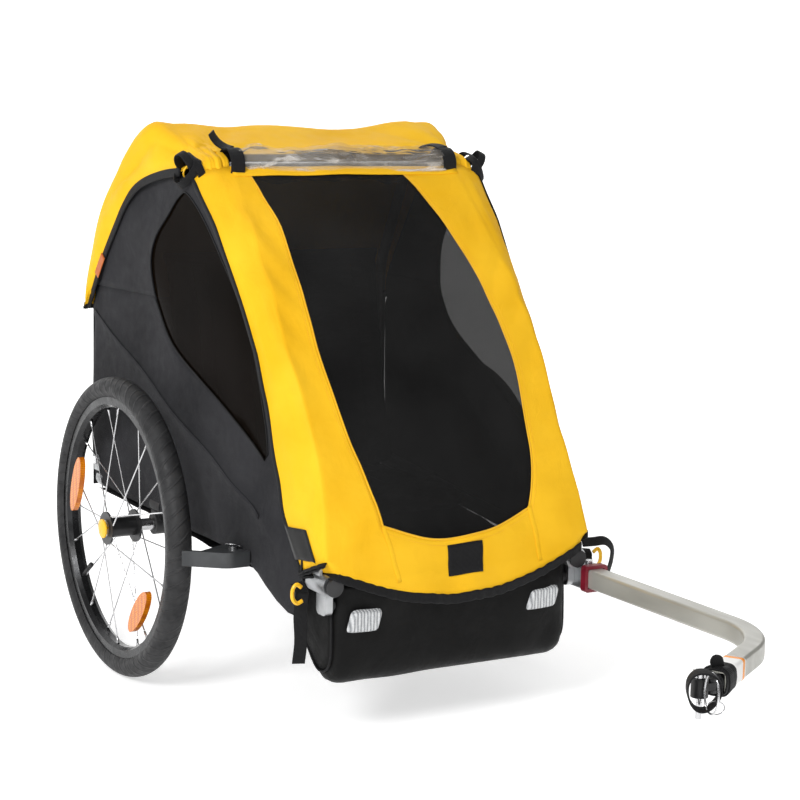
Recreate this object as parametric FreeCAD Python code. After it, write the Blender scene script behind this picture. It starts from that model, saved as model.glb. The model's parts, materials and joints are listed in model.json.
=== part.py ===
import FreeCAD, Part
import math
import os

# Child bicycle trailer. Millimetres, +Z up, the hitch points to -Y, the tow bar is on +X.
# Heights are above the ground. Lengths along Y below are measured from the wheel axle, and
# MIDDLE_Y moves everything so that the origin is on the ground at the middle of the length.

V = FreeCAD.Vector
X_AXIS = V(1, 0, 0)
Y_AXIS = V(0, 1, 0)
Z_AXIS = V(0, 0, 1)

# wheels
TYRE_R = 245.0
TYRE_BEAD_R = 209.0
TYRE_WIDTH = 40.0
RIM_INNER_R = 196.0
RIM_WIDTH = 25.0
WHEEL_X = 330.0
SPOKES_PER_FLANGE = 10
SPOKE_D = 2.2
SPOKE_LEAN = 34
REFLECTOR_PLACES = ((-70, 142.0), (132, 166.0))
REFLECTOR_LONG = 102.0
REFLECTOR_WIDE = 32.0
REFLECTOR_OUT = 16.0
REFLECTOR_THICK = 9.0
FLANGE_R = 27.0
FLANGE_SPREAD = 26.0
FLANGE_THICK = 3.0
BEARING_R = 13.0
BEARING_WIDE = 8.0
HUB_R = 16.0
AXLE_D = 12.0
BUTTON_TIP_X = 366.0
RUNNING_GAP = 0.05
BUTTON_R = 15.5
BUTTON_THICK = 5.6
PLUNGER_R = 2.5

# base frame
RAIL_D = 25.4
TUBE_D = 22.0
WALL = 1.6
RAIL_FRONT = V(216, -512, 247)
RAIL_REAR = V(271, 208, 288)
FRONT_PIVOT_Y, FRONT_PIVOT_Z, FRONT_PIVOT_X = -485.0, 283.0, 216.0
REAR_PIVOT_Y, REAR_PIVOT_Z, REAR_PIVOT_X = 203.0, 318.0, 272.0
PIN_R = 4.0
KNUCKLE_WIDTH = 20.0
HOOP_KNUCKLE_R = 10.5
EAR_THICK = 5.0
EAR_GAP = 0.5
RECEIVER_R = 17.5
RECEIVER_X, RECEIVER_LONG = 239.0, 34.0
SADDLE_HALF_X, SADDLE_HALF_Y = 14.0, 16.0
SHOULDER_X, SHOULDER_LONG, SHOULDER_R = 274.0, 28.0, 10.0
AXLE_INNER_X = 241.0
CLAMP_WALL = 4.0
EAR_REACH = 11.0
PIN_HEAD_R, PIN_HEAD_THICK = 7.0, 4.0
GUARD_PIN_Y, GUARD_PIN_X = -276.0, 262.0
GUARD_X, GUARD_Z = 249.0, 249.0
GUARD_THICK, GUARD_TALL = 7.0, 24.0
GUARD_WEB_UP = 10.0

# upper frame
CROSSBAR_Y, CROSSBAR_Z, CROSSBAR_HALF = -102.0, 833.0, 246.0
LEG_TOP_X = 232.0
LEG_BOW = 28.0
HOOP_D = 19.0
REAR_TOP_Y, REAR_TOP_Z = 28.0, 876.0

# body width: each side lies on a plane that narrows towards the front
SIDE_X_AT_AXLE = 269.6
SIDE_TAPER = 0.081
FABRIC = 2.5

# tow bar
BAR = 30.0
BAR_WALL = 2.0
BAR_X, BAR_Z = 240.0, 216.0
BAR_MOUTH_Y = -520.0
BAR_BACK_Y = -465.0
BAR_PIN_Y = -511.5
HITCH = V(16, -1066, BAR_Z)
BAR_END = HITCH + V(32, 8, 0)
BAR_BEND = V(BAR_X, -935, BAR_Z)
SOCKET_HALF = BAR / 2 + 0.3
RECEIVER_HALF = BAR / 2 + 3.5
COLLAR_HALF = BAR / 2 + 6
HITCH_REACH = 56.0
PIVOT_REACH = 15.0
PIVOT_PIN_R = 3.5
HITCH_BODY_R = 11.5
HITCH_PIN_R = 4.6
PIN_END = 22.0

LENGTH_FRONT = HITCH.y - HITCH_REACH
MIDDLE_Y = -(LENGTH_FRONT + TYRE_R) / 2


def save(name, *solids):
    """Write one sub-part, with its solids moved to the frame whose origin is under the middle."""
    shape = solids[0] if len(solids) == 1 else Part.makeCompound(list(solids))
    shape = shape.copy()
    shape.translate(V(0, MIDDLE_Y, 0))
    shape.exportStep("parts/" + name + ".step")


def mirrored(shape):
    return shape.mirror(V(0, 0, 0), X_AXIS)


def rod(start, end, radius):
    run = end - start
    return Part.makeCylinder(radius, run.Length, start, run)


def tube(start, end, diameter, wall=WALL):
    return rod(start, end, diameter / 2).cut(rod(start, end, diameter / 2 - wall))


def box(low, high):
    size = high - low
    return Part.makeBox(size.x, size.y, size.z, low)


def side_x(y, out=0.0):
    """Half width of the body at y, plus an offset outwards."""
    return SIDE_X_AT_AXLE + SIDE_TAPER * y + out


def polygon(points):
    return Part.Face(Part.makePolygon(points + [points[0]]))


def rounded_path(points, radii):
    """A wire of straight runs joined by tangent arcs, one radius for each inner point."""
    edges = []
    last = points[0]
    for before, corner, after, radius in zip(points, points[1:], points[2:], radii):
        a = (before - corner).normalize()
        b = (after - corner).normalize()
        half = a.getAngle(b) / 2
        reach = radius / math.tan(half)
        inward = (a + b).normalize()
        centre = corner + inward * (radius / math.sin(half))
        start = corner + a * reach
        end = corner + b * reach
        edges.append(Part.LineSegment(last, start).toShape())
        edges.append(Part.Arc(start, centre - inward * radius, end).toShape())
        last = end
    edges.append(Part.LineSegment(last, points[-1]).toShape())
    return Part.Wire(edges)


def sweep(path, profile):
    pipe = Part.BRepOffsetAPI.MakePipeShell(path)
    pipe.setFrenetMode(True)
    pipe.add(profile)
    pipe.build()
    pipe.makeSolid()
    return pipe.shape()


def bent_tube(points, radii, diameter, wall=WALL):
    path = rounded_path(points, radii)
    run = points[1] - points[0]
    rings = [Part.Wire(Part.Circle(points[0], run, r).toShape())
             for r in (diameter / 2, diameter / 2 - wall)]
    return sweep(path, rings[0]).cut(sweep(path, rings[1]))


def side_sheet(outline, thick, out, hole=None):
    """A flat sheet on the right-hand side plane, from (y, z) points, grown outwards."""
    def lift(points):
        return [V(side_x(y, out), y, z) for y, z in points]
    face = polygon(lift(outline))
    if hole:
        face = face.cut(polygon(lift(hole)))
        face = face.Faces[0]
    normal = V(1, -SIDE_TAPER, 0).normalize()
    return face.extrude(normal * thick)


# ---------------------------------------------------------------- wheels

def wheel_ring(profile):
    """Turn (radius, x) points about the axle."""
    face = polygon([V(x, 0, r) for r, x in profile])
    return face.revolve(V(0, 0, 0), X_AXIS, 360)


def tyre():
    crown = TYRE_WIDTH / 2
    bead = RIM_WIDTH / 2 - 2
    edges = [
        Part.Arc(V(-bead, 0, TYRE_BEAD_R), V(-crown, 0, TYRE_R - 19), V(-10, 0, TYRE_R - 3)),
        Part.Arc(V(-10, 0, TYRE_R - 3), V(0, 0, TYRE_R), V(10, 0, TYRE_R - 3)),
        Part.Arc(V(10, 0, TYRE_R - 3), V(crown, 0, TYRE_R - 19), V(bead, 0, TYRE_BEAD_R)),
        Part.LineSegment(V(bead, 0, TYRE_BEAD_R), V(-bead, 0, TYRE_BEAD_R)),
    ]
    face = Part.Face(Part.Wire([e.toShape() for e in edges]))
    return face.revolve(V(0, 0, 0), X_AXIS, 360)


def rim():
    half = RIM_WIDTH / 2
    return wheel_ring([(TYRE_BEAD_R, -half + 2.2), (TYRE_BEAD_R + 4, -half + 2.2),
                       (TYRE_BEAD_R + 4, -half), (RIM_INNER_R + 5, -half), (RIM_INNER_R, -half + 7),
                       (RIM_INNER_R, half - 7), (RIM_INNER_R + 5, half), (TYRE_BEAD_R + 4, half),
                       (TYRE_BEAD_R + 4, half - 2.2), (TYRE_BEAD_R, half - 2.2)])


def hub():
    barrel = Part.makeCylinder(HUB_R, 2 * FLANGE_SPREAD, V(-FLANGE_SPREAD, 0, 0), X_AXIS)
    for x in (-FLANGE_SPREAD, FLANGE_SPREAD - FLANGE_THICK):
        barrel = barrel.fuse(Part.makeCylinder(FLANGE_R, FLANGE_THICK, V(x, 0, 0), X_AXIS))
    bore = Part.makeCylinder(AXLE_D / 2 + 2, 80, V(-40, 0, 0), X_AXIS)
    barrel = barrel.cut(bore)
    for x in (-FLANGE_SPREAD, FLANGE_SPREAD - BEARING_WIDE):
        barrel = barrel.cut(Part.makeCylinder(BEARING_R, BEARING_WIDE, V(x, 0, 0), X_AXIS))
    return barrel


def bearings():
    """Two sealed ball bearings, pressed into the hub's ends, that run on the axle."""
    rings = []
    for x in (-FLANGE_SPREAD, FLANGE_SPREAD - BEARING_WIDE):
        ring = Part.makeCylinder(BEARING_R, BEARING_WIDE, V(x, 0, 0), X_AXIS)
        bore = Part.makeCylinder(AXLE_D / 2 + RUNNING_GAP, BEARING_WIDE, V(x, 0, 0), X_AXIS)
        rings.append(ring.cut(bore))
    return rings


def spokes():
    """Crossed spokes from each flange to the rim's middle."""
    made = []
    step = 360.0 / SPOKES_PER_FLANGE
    for side in (-1, 1):
        for n in range(SPOKES_PER_FLANGE):
            lean = SPOKE_LEAN if n % 2 else -SPOKE_LEAN
            at_rim = math.radians(n * step + (step / 2 if side > 0 else 0))
            at_hub = at_rim + math.radians(lean)
            low = V(side * (FLANGE_SPREAD - 1.5), math.cos(at_hub) * (FLANGE_R + 1.4),
                    math.sin(at_hub) * (FLANGE_R + 1.4))
            high = V(side * 4, math.cos(at_rim) * (RIM_INNER_R - 0.4), math.sin(at_rim) * (RIM_INNER_R - 0.4))
            made.append(rod(low, high, SPOKE_D / 2))
    return made


def wheel_reflectors(side):
    """Two long lens-shaped reflectors clipped between the spokes, near the rim."""
    made = []
    for degrees, radius in REFLECTOR_PLACES:
        lens = Part.Ellipse(V(0, 0, 0), REFLECTOR_LONG / 2, REFLECTOR_WIDE / 2).toShape()
        solid = Part.Face(Part.Wire(lens)).extrude(V(0, 0, REFLECTOR_THICK))
        solid.rotate(V(0, 0, 0), Z_AXIS, 90)
        solid.translate(V(0, 0, REFLECTOR_OUT))
        turn = FreeCAD.Rotation(V(0, 0, 1), V(side, 0, 0))
        solid.rotate(V(0, 0, 0), turn.Axis, math.degrees(turn.Angle))
        solid.translate(V(0, 0, radius))
        solid.rotate(V(0, 0, 0), X_AXIS, degrees)
        made.append(solid)
    return made


# ---------------------------------------------------------------- base frame

def hinge_pin(x, y, z):
    half = KNUCKLE_WIDTH / 2 + EAR_GAP + EAR_THICK
    pin = Part.makeCylinder(PIN_R, 2 * half + 4, V(x - half - 2, y, z), X_AXIS)
    for end in (-half - PIN_HEAD_THICK, half):
        pin = pin.fuse(Part.makeCylinder(PIN_HEAD_R, PIN_HEAD_THICK, V(x + end, y, z), X_AXIS))
    return pin


def ears(x, y, z, foot_z, reach):
    """Two upright ears that hold a hinge pin, on a foot that reaches down to the rail."""
    made = None
    for side in (-1, 1):
        inner = KNUCKLE_WIDTH / 2 + EAR_GAP
        low = x + (inner if side > 0 else -inner - EAR_THICK)
        ear = box(V(low, y - reach, foot_z), V(low + EAR_THICK, y + reach, z))
        ear = ear.fuse(Part.makeCylinder(reach, EAR_THICK, V(low, y, z), X_AXIS))
        made = ear if made is None else made.fuse(ear)
    return made.cut(Part.makeCylinder(PIN_R, 60, V(x - 30, y, z), X_AXIS))


def rail_point(y):
    run = RAIL_REAR - RAIL_FRONT
    return RAIL_FRONT + run * ((y - RAIL_FRONT.y) / run.y)


def around_rail(solid):
    run = RAIL_REAR - RAIL_FRONT
    return solid.cut(rod(RAIL_FRONT - run * 0.1, RAIL_REAR + run * 0.1, RAIL_D / 2))


def front_corner():
    """Cast corner: a clamp round the rail's end, ears for the hoop, and a lower lug."""
    clamp = rod(rail_point(-509), rail_point(-462), RAIL_D / 2 + 4.5)
    lug = box(V(210, -499, 200), V(221.4, -469, 236))
    lug = lug.makeFillet(9, [e for e in lug.Edges if abs(e.tangentAt(0).x) > 0.9])
    body = clamp.fuse(lug).fuse(ears(FRONT_PIVOT_X, FRONT_PIVOT_Y, FRONT_PIVOT_Z, 262, EAR_REACH))
    body = body.cut(rod(V(150, -484, 214), V(216, -484, 214), TUBE_D / 2))
    return around_rail(body)


def rear_bracket():
    clamp = rod(rail_point(186), rail_point(207), RAIL_D / 2 + CLAMP_WALL)
    body = clamp.fuse(ears(REAR_PIVOT_X, REAR_PIVOT_Y, REAR_PIVOT_Z, 300, EAR_REACH))
    tube_z = rail_point(200).z
    return around_rail(body).cut(rod(V(200, 200, tube_z), V(253, 200, tube_z), TUBE_D / 2))


def axle_receiver():
    """Socket under the rail that takes the wheel's axle."""
    at = rail_point(0)
    socket = Part.makeCylinder(RECEIVER_R, RECEIVER_LONG, V(RECEIVER_X, 0, TYRE_R), X_AXIS)
    saddle = box(V(at.x - SADDLE_HALF_X, -SADDLE_HALF_Y, TYRE_R),
                 V(at.x + SADDLE_HALF_X, SADDLE_HALF_Y, at.z))
    clamp = rod(rail_point(-SADDLE_HALF_Y), rail_point(SADDLE_HALF_Y), RAIL_D / 2 + CLAMP_WALL)
    body = socket.fuse(saddle).fuse(clamp)
    body = body.cut(Part.makeCylinder(AXLE_D / 2, 60, V(225, 0, TYRE_R), X_AXIS))
    return around_rail(body)


def axle():
    """Plug-in axle with a shoulder that spaces the wheel from the socket."""
    length = BUTTON_TIP_X - 10 - AXLE_INNER_X
    shaft = Part.makeCylinder(AXLE_D / 2, length, V(AXLE_INNER_X, 0, TYRE_R), X_AXIS)
    shaft = shaft.fuse(Part.makeCylinder(SHOULDER_R, SHOULDER_LONG, V(SHOULDER_X, 0, TYRE_R), X_AXIS))
    return shaft.cut(Part.makeCylinder(PLUNGER_R + RUNNING_GAP, 60, V(325, 0, TYRE_R), X_AXIS))


def hub_button():
    """Domed release button on the axle's outer end."""
    cap = Part.makeCylinder(BUTTON_R, BUTTON_THICK, V(BUTTON_TIP_X - BUTTON_THICK, 0, TYRE_R), X_AXIS)
    cap = cap.common(Part.makeSphere(40, V(BUTTON_TIP_X - 40, 0, TYRE_R)))
    plunger = Part.makeCylinder(PLUNGER_R, 30, V(BUTTON_TIP_X - 32, 0, TYRE_R), X_AXIS)
    return cap.fuse(plunger)


def wheel_guard():
    """Flat-section bar that turns outwards in front of the tyre, with its inner brace."""
    points = [V(GUARD_X, -303, GUARD_Z), V(284, -303, GUARD_Z), V(339, -257, GUARD_Z)]
    guard = sweep_flat(rounded_path(points, [30]), points[0], X_AXIS, GUARD_THICK, GUARD_TALL)
    top = GUARD_Z + GUARD_WEB_UP
    web = polygon([V(251, -302, top), V(283, -302, top), V(322, -270, top),
                   V(262, -240, top), V(251, -256, top)])
    lip = polygon([V(251, -256, top), V(262, -240, top), V(259, -238, top), V(251, -250, top)])
    guard = guard.fuse(web.extrude(V(0, 0, -3))).fuse(lip.extrude(V(0, 0, -20)))
    return guard.cut(Part.makeCylinder(PIN_R, 40, V(GUARD_PIN_X, GUARD_PIN_Y, top - 20), Z_AXIS))


def sweep_flat(path, start, along, thick, tall):
    across = V(along.y, -along.x, 0).normalize() * (thick / 2)
    up = V(0, 0, tall / 2)
    profile = Part.makePolygon([start - across - up, start + across - up, start + across + up,
                                start - across + up, start - across - up])
    pipe = Part.BRepOffsetAPI.MakePipeShell(path)
    pipe.setBiNormalMode(Z_AXIS)
    pipe.add(profile)
    pipe.build()
    pipe.makeSolid()
    return pipe.shape()


def guard_pin(side):
    """Headed pin through the guard's web, with its wire ring."""
    pin = Part.makeCylinder(PIN_R, 26, V(side * GUARD_PIN_X, GUARD_PIN_Y, GUARD_Z - 13), Z_AXIS)
    head_base = V(side * GUARD_PIN_X, GUARD_PIN_Y, GUARD_Z + GUARD_WEB_UP)
    head = Part.makeCylinder(PIN_HEAD_R, 5, head_base, Z_AXIS)
    return pin.fuse(head)


# ---------------------------------------------------------------- body

NOSE_HALF_FRONT = 205.0
TUB = [(-509, 243), (-502, 118), (-492, 99), (-470, 90), (-450, 100), (-362, 205), (-330, 226),
       (-300, 234), (-300, 243)]
FLOOR_REAR_Y = 186.0


def tub_block(shrink):
    """The nose's outer shape, or the space inside it when shrink is more than 0."""
    lift = 10 if shrink else 0
    points = [(y + shrink if y < -480 else y, z + shrink if z < 240 else z + lift) for y, z in TUB]
    face = polygon([V(-300, y, z) for y, z in points])
    block = face.extrude(V(600, 0, 0))
    half = NOSE_HALF_FRONT - shrink
    wedge = polygon([V(-half, -520, 60), V(half, -520, 60), V(half + 16, -290, 60), V(-half - 16, -290, 60)])
    return block.common(wedge.extrude(V(0, 0, 220)))


def nose_tub():
    """Footwell that hangs in front of the seat: a thin shell, open at the top."""
    outer = tub_block(0)
    tub = outer.cut(tub_block(3)).cut(rod(V(-300, -484, 214), V(300, -484, 214), TUBE_D / 2 + 0.3))
    for low in (-230, 197):
        tub = tub.cut(box(V(low, -520, 226), V(low + 33, -455, 260)))
    return tub


def nose_reflector(side):
    """Slanted rectangular reflector on the nose's front face."""
    x = 158 * side
    lens = polygon([V(x - 25, -507, 176), V(x + 19, -507, 176), V(x + 25, -507, 204), V(x - 19, -507, 204)])
    if side < 0:
        lens = mirrored(lens)
        lens.translate(V(2 * x, 0, 0))
    lens = lens.extrude(V(0, -9, 0))
    return lens.cut(tub_block(0))


def floor_panel():
    """Stiff floor from the footwell's rear edge to the rear tube."""
    corners = []
    for y, z in ((-299, 236), (FLOOR_REAR_Y, 272)):
        for side in (-1, 1):
            corners.append(V(side * (side_x(y) - 32), y, z))
    face = polygon([corners[0], corners[1], corners[3], corners[2]])
    return face.extrude(V(0, 0, 3))


WINDOW = [(-80, 786), (-44, 753), (-11, 720), (6, 684), (4, 643), (-12, 601), (-67, 546),
          (-204, 483), (-293, 436), (-356, 410), (-312, 550), (-272, 621), (-188, 728), (-114, 790)]
SIDE = [(-452, 268), (-345, 269), (-230, 269), (-203, 257), (-122, 259), (-26, 266), (-26, 293), (26, 293),
        (26, 270), (180, 280), (182, 338), (211, 344), (212, 560), (208, 640), (160, 740), (80, 815),
        (20, 842), (-64, 838), (-130, 790), (-192, 742), (-273, 632), (-313, 567), (-342, 500), (-379, 393),
        (-398, 334), (-445, 285)]


def shrunk(points, by):
    """The outline moved towards its centre."""
    cy = sum(y for y, z in points) / len(points)
    cz = sum(z for y, z in points) / len(points)
    return [(cy + (y - cy) * by, cz + (z - cz) * by) for y, z in points]


def side_panel():
    return side_sheet(SIDE, FABRIC, 0.5, shrunk(WINDOW, 0.98))


def side_window():
    return side_sheet(shrunk(WINDOW, 0.97), 1.2, 0.9)


def back_panel():
    """Upright rear wall between the two sides."""
    low, high = 300, 579
    half = side_x(212) - 3
    return box(V(-half, 215.5, low), V(half, 215.5 + FABRIC, high))


HOOD_TOP = [(-96, 858), (-30, 880), (28, 893), (72, 874), (106, 853), (172, 766), (205, 705), (226, 655),
            (231, 600), (229, 583)]
HOOD_SKIN = 3.0


def hood_block(inset):
    """Solid under the hood's roof line, or the space inside it when inset is more than 0."""
    roof = [(y, z - inset) if y < 60 else (y - inset, z - inset) for y, z in HOOD_TOP]
    roof[0] = (roof[0][0] - inset, roof[0][1])
    roof[-1] = (roof[-1][0], 583 - inset)
    flap = [(226, 583 - inset), (165, 662 - inset), (94, 734 - inset), (37, 782 - inset),
            (-13, 805 - inset), (-96, 826 - inset)]
    flap[0] = (roof[-1][0], flap[0][1])
    flap[-1] = (roof[0][0], flap[-1][1])
    if inset:
        flap = [(roof[-1][0], 500), (roof[0][0], 500)]
    face = polygon([V(-330, y, z) for y, z in roof + flap])
    block = face.extrude(V(660, 0, 0))
    front, rear = side_x(-140, 6.5 - inset), side_x(300, 6.5 - inset)
    wedge = polygon([V(-front, -140, 400), V(front, -140, 400), V(rear, 300, 400), V(-rear, 300, 400)])
    return block.common(wedge.extrude(V(0, 0, 600)))


def hood():
    """Roof, side flaps and upper back in one curved skin over the rear hoop."""
    return hood_block(0).cut(hood_block(HOOD_SKIN))


# ---------------------------------------------------------------- front cover

COVER_TOP = V(0, -138, 821)


def leg_run():
    return V(0, CROSSBAR_Y - FRONT_PIVOT_Y, CROSSBAR_Z - FRONT_PIVOT_Z)


def cover_x(share):
    """Half width of the front cover, at a share of the way from its bottom to its top."""
    return 233 + 15 * share


def cover_point(x_share, share, out):
    """A point on the front cover: x_share from -1 to 1 across, share from bottom to top."""
    run = leg_run().normalize()
    normal = V(0, -run.z, run.y)
    bottom = V(0, -505, 293)
    top = COVER_TOP
    base = bottom + (top - bottom) * share
    half = cover_x(share)
    bow = LEG_BOW * math.sin(math.pi * share)
    bulge = (1 - x_share ** 2) * (16 + 16 * (1 - share)) + bow
    droop = (1 - x_share ** 2) * 42 * max(0, 1 - 3.2 * share) ** 1.5
    return base + V(x_share * half, 0, 0) + normal * (bulge + out) - run * droop


def cover_sheet(x_low, x_high, s_low, s_high, thick):
    """A bulged sheet between two shares across and two shares up, as a closed solid."""
    steps = 6
    faces = []
    for out in (0, thick):
        poles = []
        for i in range(steps + 1):
            u = x_low + (x_high - x_low) * i / steps
            poles.append([cover_point(u, s_low + (s_high - s_low) * j / steps, out)
                          for j in range(steps + 1)])
        surface = Part.BSplineSurface()
        surface.interpolate(poles)
        faces.append(surface.toShape().Faces[0])
    low, high = faces
    walls = []
    for a, b in zip(low.OuterWire.OrderedEdges, matching(low.OuterWire.OrderedEdges, high)):
        walls.append(Part.makeRuledSurface(a, b).Faces[0])
    shell = Part.makeShell([low, high] + walls)
    shell.sewShape()
    solid = Part.makeSolid(shell)
    if solid.Volume < 0:
        solid.reverse()
    return solid


def matching(edges, face):
    """The other face's edges, each the nearest to one of edges."""
    return [min(face.OuterWire.Edges, key=lambda e: (e.CenterOfMass - a.CenterOfMass).Length)
            for a in edges]


def mesh_outline(grow):
    """The window's outline as (x, height) points, seen square on."""
    return [(-118 - grow, 345 - grow), (-40, 318 - grow), (50, 318 - grow), (128 + grow, 345 - grow),
            (158 + grow, 400), (176 + grow, 470), (181 + grow, 545), (168 + grow, 640),
            (140 + grow, 725), (98 + grow, 818 + grow), (-160 - grow, 818 + grow), (-152 - grow, 730),
            (-142 - grow, 640), (-140 - grow, 545), (-135 - grow, 450), (-128 - grow, 390)]


def mesh_prism(grow):
    """Upright prism through the cover, with the window's outline."""
    face = polygon([V(x, -700, z) for x, z in mesh_outline(grow)])
    return face.extrude(V(0, 800, 0))


# ---------------------------------------------------------------- tow bar and hitch

def square_wire(start, along, size, corner):
    """Rounded square, square on to the direction along."""
    face = Part.makeBox(size, size, 1, V(-size / 2, -size / 2, -1))
    face = face.makeFillet(corner, [e for e in face.Edges if abs(e.tangentAt(0).z) > 0.9])
    top = [f for f in face.Faces if f.CenterOfMass.z > -0.01][0].OuterWire
    placed = top.copy()
    placed.Placement = FreeCAD.Placement(start, FreeCAD.Rotation(Z_AXIS, along))
    return placed


def tow_bar():
    """Square tube: straight out of its socket, then curved in to the hitch."""
    points = [V(BAR_X, BAR_BACK_Y, BAR_Z), BAR_BEND, BAR_END]
    path = rounded_path(points, [150])
    outer = flat_pipe(path, square_wire(points[0], V(0, -1, 0), BAR, 5))
    inner = flat_pipe(path, square_wire(points[0], V(0, -1, 0), BAR - 2 * BAR_WALL, 3))
    bar = outer.cut(inner)
    return bar.cut(Part.makeCylinder(PIN_R + 0.2, 60, V(BAR_X, BAR_PIN_Y, BAR_Z - 30), Z_AXIS))


def flat_pipe(path, profile):
    pipe = Part.BRepOffsetAPI.MakePipeShell(path)
    pipe.setBiNormalMode(Z_AXIS)
    pipe.add(profile)
    pipe.build()
    pipe.makeSolid()
    return pipe.shape()


def tow_receiver():
    """Square socket under the corner casting, open to the front."""
    outer = box(V(BAR_X - RECEIVER_HALF, BAR_MOUTH_Y, BAR_Z - RECEIVER_HALF),
                V(BAR_X + RECEIVER_HALF, -470, BAR_Z + RECEIVER_HALF))
    outer = outer.makeFillet(5, [e for e in outer.Edges if abs(e.tangentAt(0).y) > 0.9])
    inner = box(V(BAR_X - SOCKET_HALF, -560, BAR_Z - SOCKET_HALF),
                V(BAR_X + SOCKET_HALF, -400, BAR_Z + SOCKET_HALF))
    body = outer.cut(inner).cut(rod(rail_point(-530), rail_point(-460), RAIL_D / 2 + 4.5))
    return body.cut(Part.makeCylinder(PIN_R + 0.05, 60, V(BAR_X, BAR_PIN_Y, BAR_Z - 30), Z_AXIS))


def tow_collar():
    outer = box(V(BAR_X - COLLAR_HALF, BAR_MOUTH_Y - 12, BAR_Z - COLLAR_HALF),
                V(BAR_X + COLLAR_HALF, BAR_MOUTH_Y, BAR_Z + COLLAR_HALF))
    outer = outer.makeFillet(6, [e for e in outer.Edges if abs(e.tangentAt(0).y) > 0.9])
    return outer.cut(box(V(BAR_X - SOCKET_HALF, -560, BAR_Z - SOCKET_HALF),
                         V(BAR_X + SOCKET_HALF, -500, BAR_Z + SOCKET_HALF)))


def tow_pin():
    """Retaining pin through socket and bar, pulled out upwards by its head."""
    pin = Part.makeCylinder(PIN_R, 44, V(BAR_X, BAR_PIN_Y, BAR_Z - 22), Z_AXIS)
    head = Part.makeCylinder(6, 7, V(BAR_X, BAR_PIN_Y, BAR_Z + RECEIVER_HALF), Z_AXIS)
    return pin.fuse(head)


def cross_tubes():
    """The base frame's three cross tubes, by name."""
    return {
        "front_cross_tube": tube(V(-216, -484, 214), V(216, -484, 214), TUBE_D),
        "axle_tube": tube(V(-239, 0, TYRE_R), V(239, 0, TYRE_R), TUBE_D),
        "rear_cross_tube": tube(V(-253, 200, rail_point(200).z), V(253, 200, rail_point(200).z), TUBE_D),
    }


def rail_plugs(side):
    """Round end plugs of one rail."""
    made = []
    run = (RAIL_REAR - RAIL_FRONT).normalize()
    for end, way in ((RAIL_FRONT, -1), (RAIL_REAR, 1)):
        cap = rod(end, end + run * (5 * way), 14)
        made.append(cap.fuse(rod(end, end - run * (16 * way), RAIL_D / 2 - WALL)))
    return made if side > 0 else [mirrored(s) for s in made]


def flag_socket():
    """Upright sleeve for a safety flag's pole, clamped behind the rear tube."""
    at = V(-215, 236, 262)
    sleeve = rod(at, at + V(0, 0, 90), 8)
    strap = box(V(-222, 200, 282), V(-208, 236, 294))
    body = sleeve.fuse(strap.cut(rod(V(-300, 200, rail_point(200).z), V(300, 200, rail_point(200).z), 11)))
    return body.cut(rod(at + V(0, 0, 6), at + V(0, 0, 90), 4))


# ---------------------------------------------------------------- front hoop

def leg_line():
    """The leg's centreline: an arc from the hinge to the crossbar, bowed forwards."""
    foot = V(FRONT_PIVOT_X, FRONT_PIVOT_Y, FRONT_PIVOT_Z)
    head = V(LEG_TOP_X, CROSSBAR_Y, CROSSBAR_Z)
    run = leg_run().normalize()
    forwards = V(0, -run.z, run.y)
    return Part.Arc(foot, (foot + head) / 2 + forwards * LEG_BOW, head)


def along_leg(start, end, radius):
    """A round bar that follows the leg's centreline between two distances from the hinge."""
    line = leg_line()
    low, high = (line.parameterAtDistance(d, line.FirstParameter) for d in (start, end))
    piece = Part.Arc(line.value(low), line.value((low + high) / 2), line.value(high))
    ring = Part.Circle(line.value(low), line.tangent(low)[0], radius)
    return sweep(Part.Wire(piece.toShape()), Part.Wire(ring.toShape()))


def front_leg():
    foot = V(FRONT_PIVOT_X, FRONT_PIVOT_Y, FRONT_PIVOT_Z)
    top = leg_line().length() - HOOP_D / 2 - 2
    knuckle = Part.makeCylinder(HOOP_KNUCKLE_R, KNUCKLE_WIDTH, foot - V(KNUCKLE_WIDTH / 2, 0, 0), X_AXIS)
    leg = along_leg(HOOP_KNUCKLE_R, top, HOOP_D / 2).fuse(knuckle)
    lower_end = leg_line().value(leg_line().parameterAtDistance(HOOP_KNUCKLE_R + 1))
    leg = leg.fuse(rod(foot, lower_end, HOOP_D / 2 - 1))
    leg = leg.cut(along_leg(2 * HOOP_KNUCKLE_R, top + 1, HOOP_D / 2 - WALL))
    return leg.cut(Part.makeCylinder(PIN_R + RUNNING_GAP, 60, foot - V(30, 0, 0), X_AXIS))


def corner_fitting():
    """Moulded tee that joins a leg to the crossbar and caps the crossbar's end."""
    across = rod(V(216, CROSSBAR_Y, CROSSBAR_Z), V(CROSSBAR_HALF + 2, CROSSBAR_Y, CROSSBAR_Z), 12.6)
    length = leg_line().length()
    down = along_leg(length - 44, length - 1, 12)
    bar = rod(V(200, CROSSBAR_Y, CROSSBAR_Z), V(CROSSBAR_HALF, CROSSBAR_Y, CROSSBAR_Z), HOOP_D / 2)
    leg = along_leg(length - 80, length - HOOP_D / 2 - 2, HOOP_D / 2)
    return across.fuse(down).cut(bar).cut(leg)


def window_roll():
    """Clear weather window, rolled up and tied in front of the crossbar."""
    path = [V(-178, -121, 848), V(-60, -123, 852), V(60, -123, 852), V(178, -121, 847)]
    return sweep(rounded_path(path, [400, 400]), Part.Wire(Part.Circle(path[0], V(1, 0, 0), 13).toShape()))


def roll_strap(side):
    """Hook-and-loop strap round the crossbar and the rolled window."""
    low = V(194 * side - 12.5, CROSSBAR_Y, CROSSBAR_Z)
    outer = Part.makeCylinder(HOOP_D / 2 + 3.2, 25, low, X_AXIS)
    return outer.cut(Part.makeCylinder(HOOP_D / 2 + 0.2, 25, low, X_AXIS))


# ---------------------------------------------------------------- rear hoop

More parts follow.
